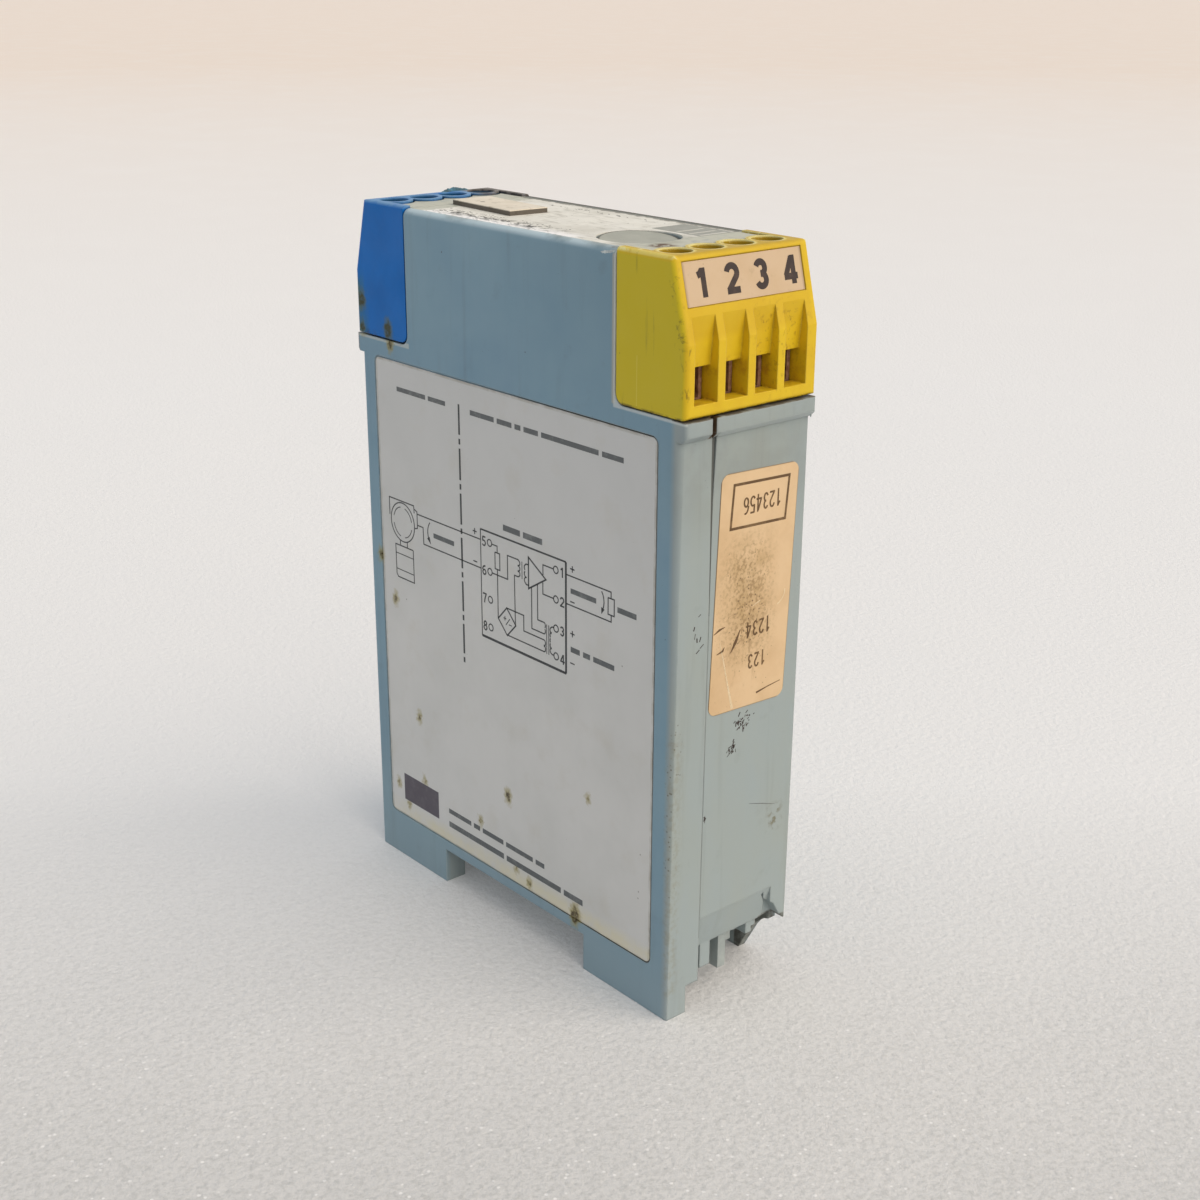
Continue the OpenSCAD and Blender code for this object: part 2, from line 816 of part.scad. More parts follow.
module contact_tag(i) {
    y = pole_y[i];
    z = tag_foot_z[i];
    board_face = y < board_shift ? board_y0 : board_y1;
    edge = y < board_shift ? y - tag_w / 2 : y + tag_w / 2;
    box([tag_leg_x, y - tag_tongue_w / 2, tag_z], [cage_x1 - 0.3, y + tag_tongue_w / 2, tag_z + tag_t]);
    box([tag_leg_x, y - tag_w / 2, z], [tag_leg_x + tag_t, y + tag_w / 2, tag_z + tag_t]);
    box([tag_leg_x, min(edge, board_face), z], [tag_leg_x + tag_t, max(edge, board_face), z + 1.5]);
}

module contact_tags() {
    for (i = [0:3]) contact_tag(i);
}

module blue_contact_tags() {
    color(brass_colour) lifted() contact_tags();
}

module yellow_contact_tags() {
    color(brass_colour) contact_tags();
}

// Rail latch: a hook on a slide that runs in the guides, with an upright web along its middle
module rail_latch() {
    y0 = latch_y - latch_side;
    y1 = latch_y + latch_side;
    slide_z0 = spring_z - 2;
    color(case_colour) difference() {
        union() {
            along_y(y0 + wing_in + latch_gap, y1 - wing_in - latch_gap) hook_outline(wing_z1);
            box([notch_x + 0.2, y0 + wing_in + latch_gap, slide_z0], [latch_x1, y1 - wing_in - latch_gap, wing_z1]);
            box([latch_x0, y0, wing_z0], [latch_x1, y1, wing_z1]);
            box([notch_x + 0.2, web_y - web_t / 2, web_z0], [web_x1, web_y + web_t / 2, wing_z1]);
        }
        box([window_x0, window_y - window_w / 2, slide_z0 + 0.8], [window_x1, window_y + window_w / 2, floor_z]);
    }
}

// Latch spring: a wire helix whose outline is swept by a formula
spring_sides = 6;
spring_steps = 14;
spring_rings = spring_turns * spring_steps;
spring_l = spring_x1 - spring_x0 - spring_wire;

function spring_point(i, j) =
    let (a = 360 * i / spring_steps, b = 360 * j / spring_sides)
    let (r = spring_r + spring_wire / 2 * cos(b))
    [spring_l * i / spring_rings + spring_wire / 2 * sin(b), r * cos(a), r * sin(a)];

module spring_wire_helix() {
    points = [for (i = [0:spring_rings]) for (j = [0:spring_sides - 1]) spring_point(i, j)];
    sides = [for (i = [0:spring_rings - 1]) for (j = [0:spring_sides - 1])
        [i * spring_sides + j, i * spring_sides + (j + 1) % spring_sides,
        (i + 1) * spring_sides + (j + 1) % spring_sides, (i + 1) * spring_sides + j]];
    first = [for (j = [spring_sides - 1:-1:0]) j];
    last = [for (j = [0:spring_sides - 1]) spring_rings * spring_sides + j];
    polyhedron(points, concat(sides, [first], [last]));
}

module latch_spring() {
    color(steel_colour) translate([spring_x0 + spring_wire / 2, window_y, spring_z]) spring_wire_helix();
}

// Electronics

// Places children on a face of the board at x and z, with their own +Z away from the board:
// side -1 is the face towards the label side, side 1 the other
module on_board(side, x, z) {
    if (side < 0) translate([x, board_y0, z]) rotate([90, 0, 0]) children();
    else translate([x, board_y1, z]) rotate([-90, 0, 0]) children();
}

module circuit_board() {
    color(board_colour) along_y(board_y0, board_y1) difference() {
        polygon([
            [-board_x, board_z0],
            [board_x - kick_in, board_z0],
            [board_x, kick_z],
            [board_x, board_z1],
            [board_neck_x, board_z1],
            [board_neck_x, board_top],
            [-board_neck_x, board_top],
            [-board_neck_x, board_z1],
            [-board_x, board_z1]
        ]);
        for (x = [-board_x + 5, board_x - 5]) for (z = [board_z0 + 3.5, board_z1 - 10])
            translate([x, z]) circle(d = 2.6);
    }
}

// Power transformer: two E-shaped halves round a bobbin, lying on the near face of the board
transformer_x = board_x - 21.8;
transformer_z = board_z0 + 23.8;
core_h = 5;
core_z = 1.8;
core_leg = 4;
core_back = 3;
flange_t = 0.8;
bobbin_t = 0.8;
flange_rise = 1;
winding_rise = 0.7;
wound_gap = 0.1;
window_l = core_l - 2 * core_back;
transformer_slot = (core_w - core_leg) / 2 - 2.4;

module power_transformer_core() {
    color(ferrite_colour) on_board(-1, transformer_x, transformer_z) translate([0, 0, core_z]) difference() {
        translate([-core_l / 2, -core_w / 2, 0]) cube([core_l, core_w, core_h]);
        for (s = [-1, 1])
            translate([-window_l / 2, s * (core_leg + transformer_slot) / 2 - transformer_slot / 2, -over])
                cube([window_l, transformer_slot, core_h + 2 * over]);
    }
}

module power_transformer_bobbin() {
    flange_y = core_leg / 2 + transformer_slot - 0.2;
    core_gap = 0.05;
    half_l = window_l / 2 - wound_gap;
    color(black_colour) on_board(-1, transformer_x, transformer_z) difference() {
        union() {
            box([-half_l, -core_leg / 2 - bobbin_t, core_z - bobbin_t],
                [half_l, core_leg / 2 + bobbin_t, core_z + core_h + bobbin_t]);
            for (x = [-half_l, half_l - flange_t])
                box([x, -flange_y, 0], [x + flange_t, flange_y, core_z + core_h + bobbin_t + flange_rise]);
        }
        box([-window_l, -core_leg / 2 - core_gap, core_z - core_gap],
            [window_l, core_leg / 2 + core_gap, core_z + core_h + core_gap]);
    }
}

module power_transformer_winding() {
    winding_y = core_leg / 2 + transformer_slot - 0.7;
    winding_x = window_l / 2 - wound_gap - flange_t;
    color(copper_colour) on_board(-1, transformer_x, transformer_z) difference() {
        box([-winding_x, -winding_y, core_z - bobbin_t - winding_rise],
            [winding_x, winding_y, core_z + core_h + bobbin_t + winding_rise]);
        box([-winding_x - over, -core_leg / 2 - bobbin_t, core_z - bobbin_t],
            [winding_x + over, core_leg / 2 + bobbin_t, core_z + core_h + bobbin_t]);
    }
}

// Signal transformer: a ring core with two windings, flat on the near face of the board
signal_x = -board_x + 23.8;
signal_z = board_z0 + 49.8;
ring_t = 2.4;
ring_h = 4;
ring_lift = 1;
wire_t = 0.8;

module ring_section() {
    translate([ring_d / 2 - ring_t, ring_lift]) square([ring_t, ring_h]);
}

module signal_transformer_core() {
    color(ferrite_colour) on_board(-1, signal_x, signal_z) rotate_extrude() ring_section();
}

module signal_transformer_windings() {
    color(copper_colour) on_board(-1, signal_x, signal_z)
        for (turn = [35, 215]) rotate([0, 0, turn]) rotate_extrude(angle = 110) difference() {
            translate([ring_d / 2 - ring_t - wire_t, 0]) square([ring_t + 2 * wire_t, ring_h + ring_lift + wire_t]);
            ring_section();
        }
}

// Electrolytic capacitors: a can with a bead near its foot and vent grooves in its end
can_h = inner_y + board_y0 - can_gap;
can_places = [[-board_x + 25.8, board_z0 + 15.8], [-board_x + 25.8, board_z0 + 26.8],
    [board_x - 10.8, board_z0 + 47.8]];

module electrolytic_can() {
    bead_z = 1.5;
    bead_h = 0.8;
    bead_depth = 0.25;
    vent_l = can_d * 0.72;
    vent_w = 0.3;
    difference() {
        cylinder(h = can_h, d = can_d);
        translate([0, 0, bead_z]) difference() {
            cylinder(h = bead_h, d = can_d + over);
            translate([0, 0, -over]) cylinder(h = bead_h + 2 * over, d = can_d - 2 * bead_depth);
        }
        for (a = [0, 60, 120]) rotate([0, 0, a])
            translate([-vent_l / 2, -vent_w / 2, can_h - 0.25]) cube([vent_l, vent_w, 1]);
    }
}

module electrolytic_capacitors() {
    color("#2B4E7A") for (place = can_places) on_board(-1, place[0], place[1]) electrolytic_can();
}

// Film capacitors: a block with a shallow dish in its end
film_cap_w = 3.4;
film_cap_rim = 0.9;
film_cap_x = -board_x + 10.8;
film_cap_z = [for (i = [0:2]) board_z0 + 7.8 + i * (film_cap_w + 2.6)];

module film_capacitor() {
    dish_l = film_cap_l - 2 * film_cap_rim;
    dish_w = film_cap_w - 2 * film_cap_rim;
    difference() {
        translate([-film_cap_l / 2, -film_cap_w / 2, 0]) cube([film_cap_l, film_cap_w, film_cap_h]);
        translate([-dish_l / 2, -dish_w / 2, film_cap_h - 0.3]) cube([dish_l, dish_w, 1]);
    }
}

module film_capacitors() {
    color("#A8482F") {
        for (z = film_cap_z) on_board(-1, film_cap_x, z) film_capacitor();
        on_board(1, -board_x + 13.8, board_z0 + 29.8) film_capacitor();
    }
}

// A chip in an eight-leg package, standing on its legs
chip_w = 6.4;
chip_h = 3.3;
chip_lift = 0.5;
leg_pitch = 2.54;
leg_w = 0.5;
leg_sheet = 0.26;
shoulder_w = 1.4;

module chip() {
    notch_depth = 0.4;
    leg_top = chip_lift + chip_h / 2 + leg_sheet;
    row_y = chip_w / 2 + 0.6;
    difference() {
        translate([-chip_l / 2, -chip_w / 2, chip_lift]) cube([chip_l, chip_w, chip_h]);
        translate([-chip_l / 2, 0, chip_lift + chip_h - notch_depth]) cylinder(h = 2, r = 0.8);
    }
    for (s = [-1, 1]) for (i = [-1.5:1.5]) {
        translate([i * leg_pitch - leg_w / 2, s * row_y - leg_sheet / 2, 0]) cube([leg_w, leg_sheet, leg_top]);
        translate([i * leg_pitch - shoulder_w / 2, s * (row_y - 0.3) - 0.4, leg_top - 0.5])
            cube([shoulder_w, 0.8, 0.5]);
    }
}

module amplifier_chips() {
    color(black_colour) {
        on_board(-1, board_x - 27.8, board_z0 + 55.8) chip();
        on_board(1, board_x - 23.8, board_z0 + 39.8) chip();
    }
}

// A transistor with a metal tab, lying flat on the board
tab_t = 1.3;
transistor_l = 9.2;
transistor_h = 3.2;
tab_reach = 3.4;
pin_reach = 4.5;
pin_w = 0.8;
pin_t = 0.5;

module power_transistor() {
    half_l = transistor_l / 2;
    pin_z = 2;
    difference() {
        union() {
            translate([-transistor_w / 2, -half_l, tab_t]) cube([transistor_w, transistor_l, transistor_h]);
            translate([-transistor_w / 2, -half_l - tab_reach, 0]) cube([transistor_w, transistor_l + tab_reach, tab_t]);
        }
        translate([0, -half_l - tab_reach / 2, -over]) cylinder(h = tab_t + 2 * over, d = 2.8);
    }
    for (x = [-leg_pitch, 0, leg_pitch]) {
        translate([x - pin_w / 2, half_l - 0.1, pin_z]) cube([pin_w, pin_reach, pin_t]);
        translate([x - pin_w / 2, half_l - 0.1 + pin_reach - pin_t, 0]) cube([pin_w, pin_t, pin_z + pin_t]);
    }
}

module pass_transistors() {
    color("#4A4A4E") for (x = [-board_x + 11.8, board_x - 9.8])
        on_board(1, x, board_z0 + 57.8) power_transistor();
}

// The fuse in its potted block, on two posts
module barrier_fuse() {
    block_w = 6.4;
    post_r = 0.5;
    post_x = fuse_block_l / 2 + 2;
    lead_z = 2.5;
    color("#C9B78C") on_board(1, -board_x + 13.8, board_z0 + 13.8) {
        translate([-fuse_block_l / 2, -block_w / 2, 0]) cube([fuse_block_l, block_w, fuse_block_h]);
        for (x = [-post_x, post_x]) translate([x, 0, 0]) cylinder(h = lead_z + post_r, r = post_r);
        translate([-post_x, 0, lead_z]) rotate([0, 90, 0]) cylinder(h = 2 * post_x, r = post_r);
    }
}

// An axial part: a round body on two bent leads that stand on the board
module axial_part(body_l, body_d) {
    axis_h = body_d / 2 + 0.4;
    foot = body_l / 2 + 2;
    translate([-body_l / 2, 0, axis_h]) rotate([0, 90, 0]) cylinder(h = body_l, d = body_d);
    translate([-foot, 0, axis_h]) rotate([0, 90, 0]) cylinder(h = 2 * foot, r = lead_r);
    for (x = [-foot, foot]) translate([x, 0, 0]) cylinder(h = axis_h + lead_r, r = lead_r);
}

module barrier_diodes() {
    body_l = 7;
    pitch = barrier_diode_d + 1.8;
    color(black_colour) for (i = [0:2])
        on_board(-1, -board_x + 8.8, board_z1 - 2 - i * pitch) axial_part(body_l, barrier_diode_d);
}

module bridge_diodes() {
    body_l = 5;
    pitch = bridge_diode_d + 1.4;
    color(black_colour) for (x = [board_x - 37.8, board_x - 25.8]) for (i = [0, 1])
        on_board(1, x, board_z0 + 7.8 + i * pitch) axial_part(body_l, bridge_diode_d);
}

module resistor_row(side, x, z, count) {
    body_l = 6.4;
    pitch = resistor_d + 1.6;
    for (i = [0:count - 1]) on_board(side, x, z + i * pitch) axial_part(body_l, resistor_d);
}

module resistors() {
    color("#C7A46A") {
        resistor_row(1, board_x - 35.8, board_z0 + 21.8, 3);
        resistor_row(1, board_x - 35.8, board_z0 + 49.8, 2);
        resistor_row(-1, board_x - 13.8, board_z1 - 12, 3);
        resistor_row(-1, -board_x + 7.8, board_z0 + 33.8, 2);
    }
}

// Labels and top

module round_cap() {
    color(case_colour)
        translate([cap_x, cap_y, case_h - cap_bed_depth + cap_rest + cap_d / 2 * sin(cap_tilt)])
        rotate([0, 0, cap_turn]) rotate([0, cap_tilt, 0]) cylinder(h = cap_t, d = cap_d);
}

module tag_plate() {
    color(cream_colour) translate([tag_plate_x, -0.4, case_h - film_recess + film_t]) rotate([0, 0, -4.2])
        translate([-tag_plate_l / 2, -tag_plate_w / 2, 0]) cube([tag_plate_l, tag_plate_w, tag_plate_t]);
}

module top_label() {
    color(film_colour) along_z(case_h - film_recess, case_h - film_recess + film_t) difference() {
        top_label_outline(0);
        translate([cap_x, cap_y]) circle(d = cap_d + 2 * cap_gap + 0.2);
    }
}

module side_label() {
    color(film_colour) along_y(-half_w + film_recess - film_t, -half_w + film_recess) side_label_outline(0);
}

module marker_label() {
    color(cream_colour) on_slant() along_x(-marker_recess, -marker_recess + film_t) marker_outline(0);
}

// The test sticker on the right end face, following the lean of the face
module test_sticker() {
    color(cream_colour) translate([end_x, 0, 0]) rotate([0, lean_angle, 0])
        translate([0, 2.6, rim_top - 27]) rotate([-2, 0, 0]) along_x(0, sticker_t)
            rounded_rect([-sticker_w / 2, -sticker_l / 2], [sticker_w / 2, sticker_l / 2], 1.5);
}

near_shell();
far_shell();
blue_terminal_block();
yellow_terminal_block();
blue_terminal_screws();
yellow_terminal_screws();
blue_clamp_cages();
yellow_clamp_cages();
blue_contact_tags();
yellow_contact_tags();
rail_latch();
latch_spring();
circuit_board();
power_transformer_core();
power_transformer_bobbin();
power_transformer_winding();
signal_transformer_core();
signal_transformer_windings();
electrolytic_capacitors();
film_capacitors();
amplifier_chips();
pass_transistors();
barrier_fuse();
barrier_diodes();
bridge_diodes();
resistors();
round_cap();
tag_plate();
top_label();
side_label();
marker_label();
test_sticker();
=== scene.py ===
import json
import math

import bmesh
import bpy
import numpy as np
from mathutils import Matrix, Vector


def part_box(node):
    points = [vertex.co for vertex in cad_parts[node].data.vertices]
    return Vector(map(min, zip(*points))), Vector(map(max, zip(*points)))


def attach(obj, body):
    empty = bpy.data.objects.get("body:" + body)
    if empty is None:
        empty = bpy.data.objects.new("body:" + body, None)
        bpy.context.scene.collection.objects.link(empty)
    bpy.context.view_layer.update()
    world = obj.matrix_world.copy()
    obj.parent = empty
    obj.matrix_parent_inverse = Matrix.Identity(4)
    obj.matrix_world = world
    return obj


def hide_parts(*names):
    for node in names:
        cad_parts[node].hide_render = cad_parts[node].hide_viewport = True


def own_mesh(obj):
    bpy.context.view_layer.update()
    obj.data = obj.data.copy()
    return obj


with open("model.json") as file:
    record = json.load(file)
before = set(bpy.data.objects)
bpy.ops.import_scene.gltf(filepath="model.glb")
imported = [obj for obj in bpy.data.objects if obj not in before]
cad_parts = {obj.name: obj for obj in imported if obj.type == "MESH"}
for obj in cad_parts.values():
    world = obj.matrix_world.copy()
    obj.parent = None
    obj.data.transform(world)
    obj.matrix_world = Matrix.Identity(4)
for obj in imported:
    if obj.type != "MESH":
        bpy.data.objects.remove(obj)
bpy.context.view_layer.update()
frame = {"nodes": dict(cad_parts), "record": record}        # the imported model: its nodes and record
cadNodes = frame["nodes"]
mm = 0.001

# Frame: +Z up, +X to the yellow end, the printed side faces -Y. Sizes below are in millimetres.

# Helpers for materials

def linear(hexColour):
    # An sRGB colour such as "A0ACAB" as a linear one with alpha
    parts = [int(hexColour[i:i + 2], 16) / 255 for i in (0, 2, 4)]
    return [p / 12.92 if p <= 0.04045 else ((p + 0.055) / 1.055) ** 2.4 for p in parts] + [1]


def addNode(tree, kind, settings=(), links=()):
    # Adds one node, whose kind may name its operation too, as in "Math ADD". Keys are input names, input numbers
    # or the node's own properties.
    kind, *operation = kind.split()
    node = tree.nodes.new("ShaderNode" + kind)
    if operation:
        node.operation = operation[0]

    def socket(key):
        if isinstance(key, int):
            return node.inputs[key]
        return next((s for s in node.inputs if s.enabled and s.name == key), None)

    for key, value in dict(settings).items():
        target = socket(key)
        if target is None:
            setattr(node, key, value)
        else:
            target.default_value = value
    for key, source in dict(links).items():
        tree.links.new(source, socket(key))
    return next(s for s in node.outputs if s.enabled)


def startMaterial(name):
    # An empty material and its object coordinates, in millimetres
    material = bpy.data.materials.new(name)
    material.use_nodes = True
    tree = material.node_tree
    tree.nodes.clear()
    coords = tree.nodes.new("ShaderNodeTexCoord").outputs["Object"]
    place = addNode(tree, "VectorMath SCALE", {"Scale": 1000}, {0: coords})
    return material, tree, place


def recipe(build):
    # Lets a mask or a colour be written down before its material is there: a call keeps the settings, and the
    # material then calls the result with its tree and place
    return lambda *settings, **named: lambda tree, place: build(tree, place, *settings, **named)


@recipe
def layered(tree, place, colour, layers):
    # Paints layer after layer over the first colour. A layer is its colour, its strength and its masks, which
    # are multiplied. Colours are hex, sockets or recipes. A recipe that several layers use is built once.
    made = {}

    def ready(item):
        if callable(item) and item not in made:
            made[item] = item(tree, place)
        return made.get(item, item)

    for over, strength, *masks in layers:
        mask, *others = map(ready, masks)
        for other in others:
            mask = addNode(tree, "Math MULTIPLY", {}, {0: mask, 1: other})
        if strength != 1:
            mask = addNode(tree, "Math MULTIPLY", {1: strength}, {0: mask})
        mix, links = {"data_type": "RGBA"}, {"Factor": mask}
        for key, value in (("A", colour), ("B", ready(over))):
            if isinstance(value, str):
                mix[key] = linear(value)
            else:
                links[key] = value
        colour = addNode(tree, "Mix", mix, links)
    return colour


@recipe
def clouds(tree, place, size, low, high, seed=0, detail=4, squash=(1, 1, 1)):
    # Cloudy areas about `size` mm across, 0 outside and 1 inside
    moved = addNode(tree, "Mapping", {"Location": (seed, seed * 0.7, -seed), "Scale": squash}, {"Vector": place})
    noise = addNode(tree, "TexNoise", {"Scale": 1 / size, "Detail": detail, "Roughness": 0.6}, {"Vector": moved})
    return addNode(tree, "MapRange", {"From Min": low, "From Max": high}, {"Value": noise})


@recipe
def specks(tree, place, pitch, radius, share, seed=0):
    # Small dots on a jittered lattice of that pitch; share is how many of its cells have one
    moved = addNode(tree, "Mapping", {"Location": (seed, seed, seed)}, {"Vector": place})
    cells = addNode(tree, "TexVoronoi", {"Scale": 1 / pitch}, {"Vector": moved}).node
    near = addNode(tree, "MapRange", {"From Min": radius / pitch, "From Max": radius / pitch * 0.6},
                   {"Value": cells.outputs["Distance"]})
    pick = addNode(tree, "SeparateColor", {}, {"Color": cells.outputs["Color"]})
    chosen = addNode(tree, "Math LESS_THAN", {1: share}, {0: pick})
    return addNode(tree, "Math MULTIPLY", {}, {0: near, 1: chosen})


@recipe
def cracks(tree, place, size, width, seed=0):
    # Thin bent lines between cells of that size, 1 on the line
    moved = addNode(tree, "Mapping", {"Location": (seed, seed, seed)}, {"Vector": place})
    bend = addNode(tree, "TexNoise", {"Scale": 0.9, "Detail": 3}, {"Vector": moved}).node.outputs["Color"]
    bent = addNode(tree, "VectorMath MULTIPLY_ADD", {1: (1.8, 1.8, 1.8)}, {0: bend, 2: moved})
    edge = addNode(tree, "TexVoronoi", {"feature": "DISTANCE_TO_EDGE", "Scale": 1 / size}, {"Vector": bent})
    return addNode(tree, "MapRange", {"From Min": width / size, "From Max": width / size * 0.4}, {"Value": edge})


@recipe
def edgeMask(tree, place, radius):
    # 1 on sharp edges: there the rounded normal differs from the true one
    rounded = addNode(tree, "Bevel", {"samples": 6, "Radius": radius * mm})
    true = tree.nodes.new("ShaderNodeNewGeometry").outputs["Normal"]
    turn = addNode(tree, "VectorMath DOT_PRODUCT", {}, {0: rounded, 1: true})
    return addNode(tree, "MapRange", {"From Min": 0.995, "From Max": 0.9}, {"Value": turn})


@recipe
def hollowMask(tree, place, reach):
    # 1 deep in recesses, where less of the surroundings is open
    clear = addNode(tree, "AmbientOcclusion", {"samples": 6, "Distance": reach * mm}).node.outputs["AO"]
    return addNode(tree, "MapRange", {"From Min": 0.75, "From Max": 0.2}, {"Value": clear})


@recipe
def zone(tree, place, bounds, soft=0.05, outside=False, moved=None):
    # 1 where all the bounds hold, such as "x>25 z<90", in mm, or 1 elsewhere. moved turns and shifts the space.
    if moved:
        place = addNode(tree, "Mapping", moved, {"Vector": place})
    axes = addNode(tree, "SeparateXYZ", {}, {"Vector": place}).node.outputs
    mask = None
    for bound in bounds.split():
        edge, side = float(bound[2:]), soft if bound[1] == ">" else -soft
        part = addNode(tree, "MapRange", {"From Min": edge - side, "From Max": edge + side},
                       {"Value": axes[bound[0].upper()]})
        mask = addNode(tree, "Math MULTIPLY", {}, {0: mask, 1: part}) if mask else part
    return addNode(tree, "Math SUBTRACT", {0: 1}, {1: mask}) if outside else mask


def nearestRim(tree, place, shape, rims):
    # The distance to the nearest of several circles, in mm and below 0 inside them. shape stretches the space
    # they lie in, and flattens it where it is 0; rims are their centres and radii.
    flat = addNode(tree, "VectorMath MULTIPLY", {1: shape}, {0: place})
    field = None
    for centre, radius in rims:
        middle = tuple(c * s for c, s in zip(centre, shape))
        away = addNode(tree, "VectorMath DISTANCE", {1: middle}, {0: flat})
        rim = addNode(tree, "Math SUBTRACT", {1: radius}, {0: away})
        field = rim if field is None else addNode(tree, "Math MINIMUM", {}, {0: field, 1: rim})
    return field


@recipe
def rimMask(tree, place, start, stop, rims):
    # Rises from 0 to 1 between two distances from the nearest of several upright round rims
    return addNode(tree, "MapRange", {"From Min": start, "From Max": stop},
                   {"Value": nearestRim(tree, place, (1, 1, 0), rims)})


# Spots of rust and mould on the label side: x, z and radius
rustSpots = [(-29.9, 92.6, 0.9), (-30.2, 94.6, 1.3), (-34.9, 55.7, 0.7), (-31.0, 48.8, 0.7), (-25.1, 28.8, 0.6),
             (-0.6, 23.1, 0.85), (19.3, 30.3, 0.35), (-8.3, 15.6, 0.5), (4.7, 9.4, 0.45), (16.3, 8.8, 1.4),
             (-24.1, 17.1, 0.45), (-32.0, 13.9, 0.45), (-29.1, 10.8, 0.4), (1.3, 10.8, 0.35), (-37.7, 98.6, 1.2),
             (-37.6, 94.0, 0.8)]


def rustLayers(tree, place, ringColour, coreColour):
    # Dark, upright cores in olive-yellow rings, on the label side only. Their outlines are shaken by noise.
    wobble = addNode(tree, "TexNoise", {"Scale": 1.3, "Detail": 4}, {"Vector": place}).node.outputs["Color"]
    centred = addNode(tree, "VectorMath SUBTRACT", {1: (0.5, 0.5, 0.5)}, {0: wobble})
    shifted = addNode(tree, "VectorMath MULTIPLY_ADD", {1: (2.0, 0, 1.6)}, {0: centred, 2: place})
    field = nearestRim(tree, shifted, (1.3, 0, 0.8), [((x, 0, z), radius) for x, z, radius in rustSpots])
    ring = addNode(tree, "MapRange", {"From Min": 0.8, "From Max": -0.1}, {"Value": field})
    core = addNode(tree, "MapRange", {"From Min": 0, "From Max": -0.5}, {"Value": field})
    side = zone("y<-11.9", 0.2)
    return [(ringColour, 0.7, ring, side), (coreColour, 0.95, core, side, clouds(0.7, 0.3, 0.5, 61, 6))]


paleRust = ("9C8E3E", "3E3012")         # of the rings and of the cores


def makeMaterial(name, base, layers, rough, grain, rounding=None, shader=(), rust=None):
    # Layers of paint over a base. rough is the lowest and highest roughness and the size of the smudges between
    # them, grain the size, height and detail of the fine bump, rounding the radius that softens the edges, and
    # shader the shader's other values. Lengths are in mm.
    material, tree, place = startMaterial(name)
    if rust:
        layers = layers + rustLayers(tree, place, *rust)
    colour = layered(base, layers)(tree, place)
    low, high, size = rough
    smudges = clouds(size, 0.3, 0.7, 13)(tree, place)
    level = addNode(tree, "MapRange", {"To Min": low, "To Max": high}, {"Value": smudges})
    pitch, height, detail = grain
    links = {"Height": addNode(tree, "TexNoise", {"Scale": 1 / pitch, "Detail": detail}, {"Vector": place})}
    if rounding:
        links["Normal"] = addNode(tree, "Bevel", {"samples": 6, "Radius": rounding * mm})
    normal = addNode(tree, "Bump", {"Strength": 0.5, "Distance": height * mm}, links)
    skin = addNode(tree, "BsdfPrincipled", shader, {"Base Color": colour, "Roughness": level, "Normal": normal})
    tree.links.new(skin, tree.nodes.new("ShaderNodeOutputMaterial").inputs["Surface"])
    return material


print("helpers ready")

# Mouldings: ABS, injection moulded. A fine matt grain, worn edges, grime, and painted shade in the corners. The soft
# gloss of old ABS is weaker than that of a new one, so its specular level is below the usual one.

mouldedAbs = {"IOR": 1.53, "Specular IOR Level": 0.3}

# Blue-grey paint of the long sides: deeper in clouds, darker up the right end, and paler at the feet, which is
# painted light bounced from the floor
caseSides = layered("86A5B4", [("7999AD", 0.8, clouds(26, 0.35, 0.65, 3)), ("6F8C9E", 0.5, zone("x>8 z>95", 14)),
                               # paler at the feet: painted light from the floor
                               ("97A8AC", 0.6, zone("z<12", 12))])
caseGrimeAndShade, tonguePaint, seamDirt, seamThin = "5B5344", "C9CABB", "523C24", "3E3E39"
brokenFoot = zone("x>28.5 y>8.3 y<12.42 z<9.6", 0.15)
seamLean = {"Rotation": (-0.0165, 0, 0)}        # the dark wedge's side leans by 0.0165 mm for each mm of height

